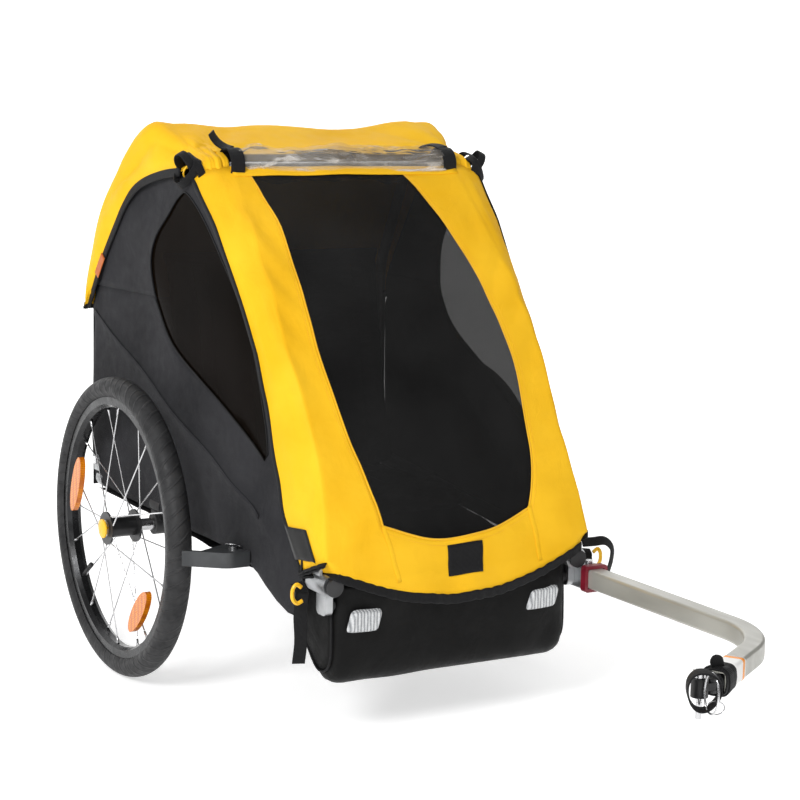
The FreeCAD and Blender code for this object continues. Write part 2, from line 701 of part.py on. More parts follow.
def rear_hoop():
    """Bent tube: upright legs, a lean forwards, and round top corners."""
    right = [V(REAR_PIVOT_X, REAR_PIVOT_Y, REAR_PIVOT_Z + 22), V(270, 205, 640), V(262, 97, 840),
             V(257, REAR_TOP_Y, REAR_TOP_Z)]
    left = [V(-p.x, p.y, p.z) for p in reversed(right)]
    bar = bent_tube(right + left, [90, 40, 56, 56, 40, 90], HOOP_D)
    for side in (-1, 1):
        centre = V(side * REAR_PIVOT_X, REAR_PIVOT_Y, REAR_PIVOT_Z)
        half = V(KNUCKLE_WIDTH / 2, 0, 0)
        knuckle = Part.makeCylinder(HOOP_KNUCKLE_R, KNUCKLE_WIDTH, centre - half, X_AXIS)
        neck = rod(centre, V(side * REAR_PIVOT_X, REAR_PIVOT_Y, REAR_PIVOT_Z + 24), HOOP_D / 2 - 0.5)
        bar = bar.fuse(neck.fuse(knuckle))
    return bar.cut(Part.makeCylinder(PIN_R + RUNNING_GAP, 700, V(-350, REAR_PIVOT_Y, REAR_PIVOT_Z), X_AXIS))


# ---------------------------------------------------------------- seat

SEAT_HALF = 215.0


def seat_cushion():
    profile = [(-215, 262), (-200, 258), (20, 274), (20, 300), (-190, 296), (-215, 284)]
    face = polygon([V(-SEAT_HALF, y, z) for y, z in profile])
    return face.extrude(V(2 * SEAT_HALF, 0, 0))


def seat_back():
    """Sling that leans back from the floor to a strap below the roof."""
    profile = [(26, 280), (110, 690), (124, 690), (52, 280)]
    face = polygon([V(-SEAT_HALF, y, z) for y, z in profile])
    return face.extrude(V(2 * SEAT_HALF, 0, 0))


def harness():
    """Shoulder and crotch webbing for two seats."""
    made = []
    for seat in (-108, 108):
        for x in (seat - 45, seat + 45):
            strap = polygon([V(x - 12, 24.5, 300), V(x - 12, 94, 640),
                             V(x - 12, 91, 640), V(x - 12, 21.5, 300)])
            made.append(strap.extrude(V(25, 0, 0)))
        made.append(box(V(seat - 12, -120, 301), V(seat + 13, 12, 303)))
    return made


# ---------------------------------------------------------------- hitch

def pivot_point():
    """The hitch's upright pivot, ahead of the bar's end."""
    return BAR_END + (BAR_END - BAR_BEND).normalize() * PIVOT_REACH


def tongue(start, end, half_width, low, high):
    """A flat bar between two upright round ends."""
    run = end - start
    side = V(-run.y, run.x, 0).normalize() * half_width
    bar = polygon([start + side, end + side, end - side, start - side])
    bar.translate(V(0, 0, low))
    bar = bar.extrude(V(0, 0, high - low))
    return bar.fuse(Part.makeCylinder(half_width, high - low, end + V(0, 0, low), Z_AXIS))


def hitch_clevis():
    """Plug in the bar's end, with two ears and the upright pivot pin between them."""
    back = (BAR_BEND - BAR_END).normalize()
    body = rod(BAR_END + back * 24, BAR_END - back * 3, BAR / 2 - BAR_WALL - 0.1)
    for low, high in ((-9.8, -5.5), (5.5, 9.8)):
        body = body.fuse(tongue(BAR_END, pivot_point(), PIVOT_PIN_R + 3.8, low, high))
    return body.fuse(Part.makeCylinder(PIVOT_PIN_R, 19, pivot_point() - V(0, 0, 9.5), Z_AXIS))


def hitch_block():
    """Round coupling body, with a tongue on the pivot and a bore for the hitch pin."""
    body = Part.makeCylinder(HITCH_BODY_R, 25, HITCH - V(0, 0, 12.5), Z_AXIS)
    body = body.fuse(tongue(HITCH, pivot_point(), PIVOT_PIN_R + 3.5, -5, 5))
    body = body.cut(Part.makeCylinder(PIVOT_PIN_R + RUNNING_GAP, 20, pivot_point() - V(0, 0, 10), Z_AXIS))
    return body.cut(Part.makeCylinder(HITCH_PIN_R + RUNNING_GAP, 60, HITCH - V(0, 0, 30), Z_AXIS))


def hitch_pin():
    """Pin with a plain lower end, a neck, a thicker shank in the block, and a head."""
    end = Part.makeCylinder(PIN_R, PIN_END, HITCH - V(0, 0, 42), Z_AXIS)
    neck = Part.makeCylinder(PIN_R - 0.8, 2, HITCH - V(0, 0, 42 - PIN_END), Z_AXIS)
    shank = Part.makeCylinder(HITCH_PIN_R, 40 - PIN_END + 14, HITCH - V(0, 0, 40 - PIN_END), Z_AXIS)
    return end.fuse(neck).fuse(shank).fuse(Part.makeCylinder(8, 6, HITCH + V(0, 0, 13), Z_AXIS))


def hitch_strap():
    """Safety webbing looped ahead of the coupling."""
    foot = HITCH - V(0, 36, 11)
    return Part.makeCylinder(20, 22, foot, Z_AXIS).cut(Part.makeCylinder(17, 22, foot, Z_AXIS))


def main():
    os.makedirs("parts", exist_ok=True)
    for side, name in ((-1, "left"), (1, "right")):
        def put(node, *solids, side=side, name=name):
            save(node + "_" + name, *[s if side > 0 else mirrored(s) for s in solids])
        centre = V(WHEEL_X, 0, TYRE_R)
        for node, solids in (("tyre", [tyre().cut(rim())]), ("rim", [rim()]), ("hub", [hub()]),
                             ("bearings", bearings()), ("spokes", spokes()),
                             ("wheel_reflectors", wheel_reflectors(1))):
            for solid in solids:
                solid.translate(centre)
            put(node, *solids)
        put("axle", axle())
        put("hub_button", hub_button())
        put("axle_receiver", axle_receiver())
        put("rail", tube(RAIL_FRONT, RAIL_REAR, RAIL_D))
        put("front_corner", front_corner())
        put("wheel_guard", wheel_guard())
        put("side_panel", side_panel())
        put("side_window", side_window())
    for node, solid in cross_tubes().items():
        save(node, solid)
    both = (-1, 1)
    save("rail_plugs", *[plug for side in both for plug in rail_plugs(side)])
    bracket = rear_bracket()
    save("rear_brackets", bracket, mirrored(bracket))
    save("hinge_pins", *[hinge_pin(side * x, y, z) for side in both for x, y, z in (
        (FRONT_PIVOT_X, FRONT_PIVOT_Y, FRONT_PIVOT_Z), (REAR_PIVOT_X, REAR_PIVOT_Y, REAR_PIVOT_Z))])
    save("guard_pins", *[guard_pin(side) for side in both])
    save("flag_socket", flag_socket())
    save("nose_tub", nose_tub())
    save("nose_reflectors", *[nose_reflector(side) for side in both])
    save("floor_panel", floor_panel())
    save("back_panel", back_panel())
    save("seat_cushion", seat_cushion())
    save("seat_back", seat_back())
    save("harness", *harness())
    leg, fitting = front_leg(), corner_fitting()
    save("front_legs", leg, mirrored(leg))
    ends = [V(side * CROSSBAR_HALF, CROSSBAR_Y, CROSSBAR_Z) for side in both]
    save("crossbar", tube(*ends, HOOP_D))
    save("corner_fittings", fitting, mirrored(fitting))
    save("window_roll", window_roll())
    save("roll_straps", *[roll_strap(side) for side in both])
    sheet = cover_sheet(-1, 1, 0, 1, FABRIC)
    save("front_cover", sheet.cut(mesh_prism(0)))
    save("cover_mesh", cover_sheet(-0.95, 0.95, 0.02, 0.98, 1.2).common(mesh_prism(-0.4)))
    save("rear_hoop_tube", rear_hoop())
    save("hood", hood())
    save("tow_bar", tow_bar())
    save("tow_receiver", tow_receiver())
    save("tow_collar", tow_collar())
    save("tow_pin", tow_pin())
    save("hitch_clevis", hitch_clevis())
    save("hitch_block", hitch_block())
    save("hitch_pin", hitch_pin())
    save("hitch_strap", hitch_strap())


main()
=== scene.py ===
import json
import math

import bpy
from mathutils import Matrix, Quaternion, Vector, noise


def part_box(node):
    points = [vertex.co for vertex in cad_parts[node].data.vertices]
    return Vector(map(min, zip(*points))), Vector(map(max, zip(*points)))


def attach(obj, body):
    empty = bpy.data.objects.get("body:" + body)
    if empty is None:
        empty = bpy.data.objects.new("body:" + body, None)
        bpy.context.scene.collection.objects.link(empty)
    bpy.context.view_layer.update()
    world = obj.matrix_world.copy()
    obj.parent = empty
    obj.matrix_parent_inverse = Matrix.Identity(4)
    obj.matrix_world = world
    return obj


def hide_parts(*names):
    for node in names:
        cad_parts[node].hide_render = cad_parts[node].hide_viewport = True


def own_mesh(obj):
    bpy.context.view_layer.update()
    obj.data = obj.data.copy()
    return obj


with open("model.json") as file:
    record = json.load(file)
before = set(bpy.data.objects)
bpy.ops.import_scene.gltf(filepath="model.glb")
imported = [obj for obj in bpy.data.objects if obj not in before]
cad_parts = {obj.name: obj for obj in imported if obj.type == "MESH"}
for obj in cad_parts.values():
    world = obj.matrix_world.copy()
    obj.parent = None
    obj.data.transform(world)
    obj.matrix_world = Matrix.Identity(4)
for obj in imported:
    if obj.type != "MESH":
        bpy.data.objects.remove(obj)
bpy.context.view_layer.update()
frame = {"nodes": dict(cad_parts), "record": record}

# Metres. x is across, y is measured from the wheel axle (the hitch is at -y), z is up.
HUB_LOW, HUB_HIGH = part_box("hub_left")
AXLE_Y = (HUB_LOW.y + HUB_HIGH.y) / 2


def at(x, y, z):
    return Vector((x, AXLE_Y + y, z))


def middle(node):
    low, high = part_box(node)
    return (low + high) / 2


# Frame geometry that the soft pieces follow: the hoop's leg line, and the body's tapering sides
FOOT = at(0.216, -0.485, 0.283)
HEAD = at(0.232, -0.102, 0.833)
RUN = Vector((0, HEAD.y - FOOT.y, HEAD.z - FOOT.z)).normalized()
OUT = Vector((0, -RUN.z, RUN.y))


SIDE_X_AT_AXLE = 0.2696
SIDE_TAPER = 0.081
SIDES = ((-1, "left"), (1, "right"))
UP = Vector((0, 0, 1))


def side_x(y, out=0.0):
    """Half width of the body at y, from the axle."""
    return SIDE_X_AT_AXLE + SIDE_TAPER * y + out


def turns(count):
    """Even angles round a circle."""
    return [2 * math.pi * k / count for k in range(count)]


# ------------------------------------------------------------------ small geometry helpers

def mix(a, b, t):
    return a + (b - a) * t


def table(rows, x):
    """Smooth value at x from (x, value) rows."""
    if x <= rows[0][0]:
        return rows[0][1]
    for (x0, v0), (x1, v1) in zip(rows, rows[1:]):
        if x <= x1:
            t = (x - x0) / (x1 - x0)
            return mix(v0, v1, t * t * (3 - 2 * t) * 0.5 + t * 0.5)
    return rows[-1][1]


def catmull(points, steps, closed=False):
    """A smooth line through the points."""
    count = len(points)
    line = []
    for i in range(count if closed else count - 1):
        if closed:
            p = [points[(i + k) % count] for k in (-1, 0, 1, 2)]
        else:
            p = [points[min(max(i + k, 0), count - 1)] for k in (-1, 0, 1, 2)]
        for j in range(steps):
            t = j / steps
            line.append(0.5 * (2 * p[1] + (p[2] - p[0]) * t + (2 * p[0] - 5 * p[1] + 4 * p[2] - p[3]) * t * t
                               + (3 * p[1] - p[0] - 3 * p[2] + p[3]) * t * t * t))
    if not closed:
        line.append(points[-1].copy())
    return line


def even(line, count):
    """count points spaced evenly along an open line."""
    lengths = [0.0]
    for a, b in zip(line, line[1:]):
        lengths.append(lengths[-1] + (b - a).length)
    made, i = [], 0
    for n in range(count):
        want = lengths[-1] * n / (count - 1)
        while i < len(line) - 2 and lengths[i + 1] < want:
            i += 1
        span = lengths[i + 1] - lengths[i]
        made.append(mix(line[i], line[i + 1], (want - lengths[i]) / span if span else 0.0))
    return made


def smooth_line(points, count, steps=12):
    return even(catmull(points, steps), count)


def mesh_piece(name, points, faces, body, material, uvs=None, flat=False):
    data = bpy.data.meshes.new(name)
    data.from_pydata([tuple(p) for p in points], [], faces)
    if uvs:
        layer = data.uv_layers.new(name="UVMap")
        for loop in data.loops:
            layer.data[loop.index].uv = uvs[loop.vertex_index]
    data.validate()
    data.shade_flat() if flat else data.shade_smooth()
    piece = bpy.data.objects.new(name, data)
    bpy.context.scene.collection.objects.link(piece)
    piece.data.materials.append(material)
    if body:
        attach(piece, body)
    return piece


def modify(piece, kind, **values):
    modifier = piece.modifiers.new(kind.lower(), kind)
    for key, value in values.items():
        setattr(modifier, key, value)


def apply_all(piece):
    """The mesh as its modifiers leave it."""
    bpy.context.view_layer.update()
    evaluated = piece.evaluated_get(bpy.context.evaluated_depsgraph_get())
    data = bpy.data.meshes.new_from_object(evaluated)
    piece.modifiers.clear()
    piece.data = data


def grid_faces(rows, columns, closed_rows=False, closed_columns=False):
    faces = []
    for i in range(rows if closed_rows else rows - 1):
        for j in range(columns if closed_columns else columns - 1):
            low, high = i * columns, (i + 1) % rows * columns
            after = (j + 1) % columns
            faces.append((low + j, low + after, high + after, high + j))
    return faces


def grid_uvs(rows):
    """UVs in metres, measured along the first row and down each column."""
    uvs = []
    down = [0.0] * len(rows[0])
    for i, row in enumerate(rows):
        across = 0.0
        for j, point in enumerate(row):
            if j:
                across += (point - row[j - 1]).length
            if i:
                down[j] += (point - rows[i - 1][j]).length
            uvs.append((across, down[j]))
    return uvs


def sheet_piece(name, rows, body, material, thick=0.0012, offset=0.0):
    """A sheet through rows of points, thickened."""
    points = [p for row in rows for p in row]
    faces = grid_faces(len(rows), len(rows[0]))
    piece = mesh_piece(name, points, faces, body, material, grid_uvs(rows))
    if thick:
        modify(piece, "SOLIDIFY", thickness=thick, offset=offset)
    return piece


def frames(line, up, closed=False):
    """A direction and a steady side vector at each point of a line."""
    made = []
    side = None
    count = len(line)
    for i, point in enumerate(line):
        if closed:
            run = (line[(i + 1) % count] - line[i - 1]).normalized()
        else:
            run = (line[min(i + 1, count - 1)] - line[max(i - 1, 0)]).normalized()
        if side is None:
            side = run.cross(up).normalized()
        else:
            side = (side - run * side.dot(run)).normalized()
        made.append((point, side, side.cross(run).normalized()))
    return made


def sweep_piece(name, line, profile, body, material, up=UP, closed=False, sizes=None):
    """A closed profile of (side, up) points carried along a line, with its ends closed."""
    points, uvs = [], []
    along = 0.0
    last = None
    for i, (point, side, rise) in enumerate(frames(line, up, closed)):
        if last is not None:
            along += (point - last).length
        last = point
        size = sizes[i] if sizes else 1.0
        around = 0.0
        for k, (a, b) in enumerate(profile):
            points.append(point + side * (a * size) + rise * (b * size))
            if k:
                around += math.hypot(a - profile[k - 1][0], b - profile[k - 1][1])
            uvs.append((around, along))
    faces = grid_faces(len(line), len(profile), closed, True)
    if not closed:
        n = len(profile)
        faces.append(tuple(reversed(range(n))))
        faces.append(tuple(range(len(points) - n, len(points))))
    return mesh_piece(name, points, faces, body, material, uvs)


def circle_profile(radius, count):
    return [(radius * math.cos(angle), radius * math.sin(angle)) for angle in turns(count)]


def strap_profile(width, thick):
    """A webbing's section: flat, with round edges."""
    w, t = width / 2, thick / 2
    return [(-w, 0), (-w + t * 0.5, t * 0.85), (-w + t * 1.6, t), (0, t * 1.05), (w - t * 1.6, t),
            (w - t * 0.5, t * 0.85), (w, 0), (w - t * 0.5, -t * 0.85), (w - t * 1.6, -t), (0, -t * 1.05),
            (-w + t * 1.6, -t), (-w + t * 0.5, -t * 0.85)]


def strap_piece(name, points, width, thick, up, body, material, count=28, closed=False):
    """Flat webbing whose width lies square to its run and to up."""
    line = catmull(points, 8, True) if closed else smooth_line(points, count)
    return sweep_piece(name, line, strap_profile(width, thick), body, material, up, closed)


def pipe_piece(name, points, radius, body, material, count=24, closed=False, sides=10):
    line = catmull(points, 8, True) if closed else smooth_line(points, count)
    return sweep_piece(name, line, circle_profile(radius, sides), body, material, closed=closed)


def lathe_piece(name, centre, axis, profile, body, material, segments):
    """A closed (radius, along) profile turned about an axis. A radius of 0 closes an end."""
    axis = Vector(axis).normalized()
    side = axis.orthogonal().normalized()
    other = axis.cross(side)
    points, rings = [], []
    for radius, along in profile:
        if radius < 1e-6:
            rings.append([len(points)])
            points.append(centre + axis * along)
            continue
        rings.append(list(range(len(points), len(points) + segments)))
        for angle in turns(segments):
            points.append(centre + axis * along + (side * math.cos(angle) + other * math.sin(angle)) * radius)
    faces = []
    for a, b in zip(rings, rings[1:]):
        for k in range(segments):
            quad = [a[k % len(a)], a[(k + 1) % len(a)], b[(k + 1) % len(b)], b[k % len(b)]]
            faces.append(tuple(dict.fromkeys(quad)))
    return mesh_piece(name, points, faces, body, material)


def rough(point, size, grain):
    """Gentle noise at a point, the same each run."""
    return noise.noise(Vector(point) * grain) * size


def join(name, pieces):
    """Join pieces into one, keeping the first one's body, slot and materials."""
    with bpy.context.temp_override(active_object=pieces[0], selected_editable_objects=pieces,
                                   selected_objects=pieces):
        bpy.ops.object.join()
    pieces[0].name = name


# ------------------------------------------------------------------ materials

class Finish:
    """A Principled material with a few helpers for its nodes."""

    def __init__(self, name, colour, roughness, **sockets):
        self.material = bpy.data.materials.new(name)
        self.material.use_nodes = True
        self.nodes = self.material.node_tree.nodes
        self.links = self.material.node_tree.links
        self.shader = self.nodes["Principled BSDF"]
        self.shader.inputs["Base Color"].default_value = (*colour, 1)
        self.shader.inputs["Roughness"].default_value = roughness
        for key, value in sockets.items():
            self.shader.inputs[key.replace("_", " ")].default_value = value
        self.place = self.nodes.new("ShaderNodeTexCoord")
        self.normal = None

    def node(self, kind, **values):
        made = self.nodes.new(kind)
        for key, value in values.items():
            if hasattr(made, key):
                setattr(made, key, value)
            else:
                made.inputs[key.replace("_", " ")].default_value = value
        return made

    def noise(self, scale, detail=3.0, where="Object", stretch=None, **values):
        made = self.node("ShaderNodeTexNoise", Scale=scale, Detail=detail, **values)
        self.link(self.coordinates(where, stretch), made.inputs["Vector"])
        return made.outputs[0]

    def coordinates(self, where="Object", stretch=None):
        out = self.place.outputs[where]
        if stretch is None:
            return out
        mapping = self.node("ShaderNodeMapping")
        mapping.inputs["Scale"].default_value = stretch
        self.link(out, mapping.inputs["Vector"])
        return mapping.outputs[0]

    def link(self, a, b):
        self.links.new(a, b)

    def ramp(self, value, low, high, start=0.3, end=0.7):
        made = self.node("ShaderNodeValToRGB")
        made.color_ramp.elements[0].position = start
        made.color_ramp.elements[1].position = end
        made.color_ramp.elements[0].color = (*low, 1)
        made.color_ramp.elements[1].color = (*high, 1)
        self.link(value, made.inputs[0])
        return made.outputs[0]

    def colour(self, value, low, high, start=0.3, end=0.7):
        self.link(self.ramp(value, low, high, start, end), self.shader.inputs["Base Color"])
        return self

    def spread(self, value, low, high, socket="Roughness"):
        made = self.node("ShaderNodeMapRange", To_Min=low, To_Max=high)
        made.inputs["From Min"].default_value = 0.3
        made.inputs["From Max"].default_value = 0.7
        self.link(value, made.inputs[0])
        self.link(made.outputs[0], self.shader.inputs[socket])
        return self

    def bump(self, value, distance, strength=1.0):
        made = self.node("ShaderNodeBump", Distance=distance, Strength=strength)
        self.link(value, made.inputs["Height"])
        if self.normal is not None:
            self.link(self.normal, made.inputs["Normal"])
        self.normal = made.outputs[0]
        self.link(self.normal, self.shader.inputs["Normal"])
        return self

    def wave(self, direction, period, where="Object", distortion=0.0):
        made = self.node("ShaderNodeTexWave", bands_direction=direction, Scale=0.31416 / period,
                         Distortion=distortion)
        self.link(self.coordinates(where), made.inputs["Vector"])
        return made.outputs["Fac"]

    def combine(self, operation, a, b):
        made = self.node("ShaderNodeMath", operation=operation)
        self.link(a, made.inputs[0])
        if isinstance(b, (int, float)):
            made.inputs[1].default_value = b
        else:
            self.link(b, made.inputs[1])
        return made.outputs[0]

    def weave(self, period, distance, where="UV"):
        """Plain weave: threads that pass over and under each other."""
        pair = ("X", "Y") if where == "UV" else ("X", "Z")
        a, b = (self.wave(d, period, where) for d in pair)
        return self.bump(self.combine("MULTIPLY", a, b), distance, 0.6)


def coated_fabric(name, deep, light, roughness, period=0.0016, creases=0.0016, where="UV", sheen=0.15):
    """Coated woven polyester with soft creases and a slightly uneven colour."""
    made = Finish(name, light, roughness, Sheen_Weight=sheen, Sheen_Roughness=0.5, Specular_IOR_Level=0.25,
                  IOR=1.3)
    made.colour(made.noise(7.0, 4.0, Roughness=0.55), deep, light, 0.32, 0.62)
    made.spread(made.noise(55.0, 3.0), roughness - 0.07, roughness + 0.09)
    made.bump(made.noise(16.0, 3.0, Distortion=0.6), creases * 2.2, 0.55)
    made.bump(made.noise(70.0, 3.0), creases * 0.3, 0.5)
    made.weave(period, 0.0003, where)
    return made.material


def webbing_fabric(name, deep, light):
    """Ribbed polyester webbing."""
    made = Finish(name, light, 0.62, Sheen_Weight=0.03, Specular_IOR_Level=0.3, IOR=1.35)
    rib = made.wave("Y", 0.0018, "UV")
    made.colour(made.combine("MULTIPLY", rib, made.noise(300.0)), deep, light, 0.05, 0.5)
    made.bump(rib, 0.0004, 0.7)
    made.bump(made.noise(900.0, 2.0), 0.0002, 0.5)
    return made.material


def metal(name, deep, light, roughness, grain, metallic=1.0, depth=0.0002, stretch=None, coat=0.0):
    """Metal or paint with a fine grain, faint stains and rubbed patches."""
    made = Finish(name, light, roughness, Metallic=metallic, Coat_Weight=coat, Coat_Roughness=0.2)
    made.colour(made.noise(22.0, 5.0, stretch=stretch), deep, light)
    made.spread(made.noise(60.0, 4.0, stretch=stretch), roughness - 0.08, roughness + 0.1)
    made.bump(made.noise(grain, 3.0, stretch=stretch), depth, 0.5)
    return made.material


def moulded(name, deep, light, roughness, grain=900.0, depth=0.00015):
    """Moulded plastic with a fine spark-eroded grain and handling marks."""
    made = Finish(name, light, roughness, Specular_IOR_Level=0.45)
    made.colour(made.noise(35.0, 5.0), deep, light)
    made.spread(made.noise(140.0, 4.0), roughness - 0.08, roughness + 0.1)
    made.bump(made.noise(grain, 2.0), depth, 0.6)
    return made.material


def rubber(name):
    """Tyre rubber: matt, with dust in its grain and moulding lines round the sidewall."""
    made = Finish(name, (0.018, 0.018, 0.019), 0.7, Specular_IOR_Level=0.35)
    made.colour(made.noise(30.0, 6.0), (0.010, 0.010, 0.011), (0.028, 0.028, 0.029))
    made.spread(made.noise(110.0, 4.0), 0.50, 0.74)
    made.bump(made.noise(700.0, 3.0), 0.00025, 0.5)
    sipes = made.node("ShaderNodeTexWave", bands_direction="DIAGONAL", Scale=0.31416 / 0.011, Distortion=3.2,
                      Detail=1.0)
    sipes.inputs["Detail Scale"].default_value = 0.6
    made.link(made.coordinates("UV"), sipes.inputs["Vector"])
    cut = made.node("ShaderNodeMapRange", To_Min=0.0, To_Max=1.0)
    cut.inputs["From Min"].default_value = 0.03
    cut.inputs["From Max"].default_value = 0.16
    made.link(sipes.outputs["Fac"], cut.inputs[0])
    made.bump(cut.outputs[0], 0.0011, 0.9)
    return made.material


def lens(name, deep, light, period, across="X"):
    """Reflector plastic: bands of fine prisms behind a smooth face, with painted glints where the colour runs
    dark to light across the prism bands and cells.
    """
    made = Finish(name, light, 0.2, Coat_Weight=0.25, Coat_Roughness=0.08, Specular_IOR_Level=0.4)
    cells = made.node("ShaderNodeTexVoronoi", Scale=1.0 / period)
    made.link(made.coordinates(), cells.inputs["Vector"])
    bands = made.combine("MULTIPLY", made.wave(across, period * 4.5), made.wave("Z", period))
    painted_glint_mask = made.combine("ADD", bands, made.combine("MULTIPLY", cells.outputs["Distance"], 0.35))
    # Painted glints: the prism bands and cells are coloured from dark to light.
    made.colour(painted_glint_mask, deep, light, 0.15, 0.85)
    made.bump(cells.outputs["Distance"], 0.0004, 0.7)
    return made.material


def window_mesh():
    """Black screen mesh: fine threads with square holes between them."""
    made = Finish("window_mesh", (0.006, 0.006, 0.006), 0.6, Specular_IOR_Level=0.2, IOR=1.2)
    a, b = (made.wave(d, 0.0014, "UV") for d in ("X", "Y"))
    threads = made.combine("MAXIMUM", a, b)
    made.bump(threads, 0.0004, 0.6)
    cover = made.node("ShaderNodeMapRange", To_Min=0.62, To_Max=1.0)
    cover.inputs["From Min"].default_value = 0.35
    cover.inputs["From Max"].default_value = 0.7
    made.link(threads, cover.inputs[0])
    made.link(cover.outputs[0], made.shader.inputs["Alpha"])
    made.colour(made.noise(5.0, 3.0), (0.007, 0.007, 0.007), (0.015, 0.015, 0.015))
    return made.material


def tinted_film(name, cover):
    """Smoked window film, glossy, with faint ripples."""
    made = Finish(name, (0.004, 0.003, 0.002), 0.09, Alpha=cover, Specular_IOR_Level=0.25, IOR=1.10)
    made.colour(made.noise(4.0, 2.0), (0.002, 0.0015, 0.001), (0.006, 0.004, 0.003))
    made.spread(made.noise(30.0, 3.0), 0.06, 0.16)
    made.bump(made.noise(6.0, 2.0), 0.004, 0.5)
    return made.material


def clear_film():
    """Clear window film, creased from being rolled: see-through, with bright glints, and painted highlight
    streaks where the creases turn pale and nearly opaque.
    """
    made = Finish("clear_film", (0.74, 0.70, 0.64), 0.06, Specular_IOR_Level=0.9, Coat_Weight=0.5,
                  Coat_Roughness=0.03)
    crease = made.noise(46.0, 4.0, stretch=(0.22, 1, 1), Distortion=1.4)
    made.spread(made.noise(40.0, 3.0), 0.03, 0.12)
    made.bump(crease, 0.006, 0.9)
    # Painted highlight: the creases turn nearly opaque, so their pale colour shows as white streaks.
    cover = made.node("ShaderNodeMapRange", To_Min=0.07, To_Max=0.85)
    cover.inputs["From Min"].default_value = 0.56
    cover.inputs["From Max"].default_value = 0.74
    made.link(crease, cover.inputs[0])
    made.link(cover.outputs[0], made.shader.inputs["Alpha"])
    # Painted highlight streaks: the colour runs from tan to near white along the roll.
    made.colour(made.noise(24.0, 3.0, stretch=(0.3, 1, 1)), (0.45, 0.40, 0.34), (0.92, 0.90, 0.86))
    return made.material


YELLOW = coated_fabric("yellow_fabric", (0.80, 0.430, 0.009), (0.88, 0.505, 0.018), 0.55, creases=0.0018,
                       sheen=0.0)
DARK = coated_fabric("dark_fabric", (0.013, 0.013, 0.015), (0.023, 0.023, 0.026), 0.7, creases=0.0022,
                     sheen=0.04)
NOSE = coated_fabric("nose_fabric", (0.003, 0.003, 0.003), (0.006, 0.006, 0.006), 0.45, creases=0.0026,
                     sheen=0.0)
LINING = coated_fabric("lining_fabric", (0.006, 0.006, 0.007), (0.012, 0.012, 0.013), 0.8, where="Object",
                       sheen=0.03)
BINDING = webbing_fabric("binding_tape", (0.003, 0.003, 0.0035), (0.011, 0.011, 0.012))
WEBBING = webbing_fabric("black_webbing", (0.003, 0.003, 0.0035), (0.013, 0.013, 0.014))
HOOK_TAPE = coated_fabric("hook_tape", (0.008, 0.008, 0.008), (0.022, 0.022, 0.022), 0.95, 0.0012, 0.0008)
THREAD = coated_fabric("yellow_thread", (0.70, 0.36, 0.01), (0.90, 0.50, 0.02), 0.6, 0.0006, 0.0002, "Object")
MESH = window_mesh()
# One smoked film twice: nearly opaque on the near left side, so it reads dark as painted shade, and thinner
# on the far right side, so it reads lighter as painted light.
TINT = tinted_film("tinted_film", 0.975)
TINT_FAR_PAINTED_LIGHT = tinted_film("tinted_film_far_painted_light", 0.62)
CLEAR = clear_film()
ALUMINIUM = metal("frame_tube", (0.42, 0.43, 0.44), (0.66, 0.67, 0.68), 0.34, 500.0)
CASTING = metal("cast_aluminium", (0.38, 0.39, 0.40), (0.60, 0.61, 0.62), 0.42, 420.0, depth=0.0005)
STEEL = metal("bright_steel", (0.50, 0.50, 0.51), (0.72, 0.72, 0.73), 0.22, 800.0)
BLACK_METAL = metal("black_anodised", (0.014, 0.014, 0.015), (0.040, 0.040, 0.042), 0.34, 700.0, 0.5)
GUARD_PAINT = metal("guard_paint", (0.030, 0.032, 0.034), (0.060, 0.063, 0.066), 0.38, 260.0, 0.3)
BAR_PAINT = metal("bar_paint", (0.33, 0.325, 0.29), (0.43, 0.425, 0.385), 0.36, 600.0, 0.35,
                  stretch=(1, 0.2, 1), coat=0.15)
RIM = metal("rim_black", (0.012, 0.012, 0.013), (0.035, 0.036, 0.038), 0.26, 500.0, 0.6)
RUBBER = rubber("tyre_rubber")
BLACK_PLASTIC = moulded("black_plastic", (0.010, 0.010, 0.011), (0.030, 0.030, 0.031), 0.5)
YELLOW_PLASTIC = moulded("yellow_plastic", (0.82, 0.42, 0.008), (0.94, 0.54, 0.02), 0.32)
RED_PLASTIC = moulded("red_plastic", (0.13, 0.006, 0.014), (0.24, 0.012, 0.028), 0.36)
ORANGE_LENS = lens("orange_lens", (0.52, 0.12, 0.001), (0.80, 0.26, 0.002), 0.003, "Y")
WHITE_LENS = lens("white_lens", (0.20, 0.21, 0.22), (0.80, 0.81, 0.82), 0.0012)
LABEL = moulded("label_film", (0.78, 0.77, 0.75), (0.88, 0.87, 0.86), 0.4)
ORANGE_FILM = moulded("orange_film", (0.82, 0.27, 0.02), (0.90, 0.34, 0.04), 0.4)
ORANGE_TAPE = moulded("orange_tape", (0.38, 0.080, 0.006), (0.55, 0.13, 0.01), 0.45)

SLOT_FINISH = {
    "yellow_fabric": YELLOW, "dark_fabric": DARK, "nose_fabric": NOSE, "mesh": MESH, "tinted_vinyl": TINT,
    "clear_vinyl": CLEAR, "webbing": WEBBING, "cushion_fabric": LINING, "frame_tube": ALUMINIUM,
    "casting": CASTING, "black_metal": BLACK_METAL, "steel": STEEL, "bar_paint": BAR_PAINT, "tyre": RUBBER,
    "rim": RIM, "black_plastic": BLACK_PLASTIC, "yellow_plastic": YELLOW_PLASTIC, "red_plastic": RED_PLASTIC,
    "orange_lens": ORANGE_LENS, "white_lens": WHITE_LENS,
}
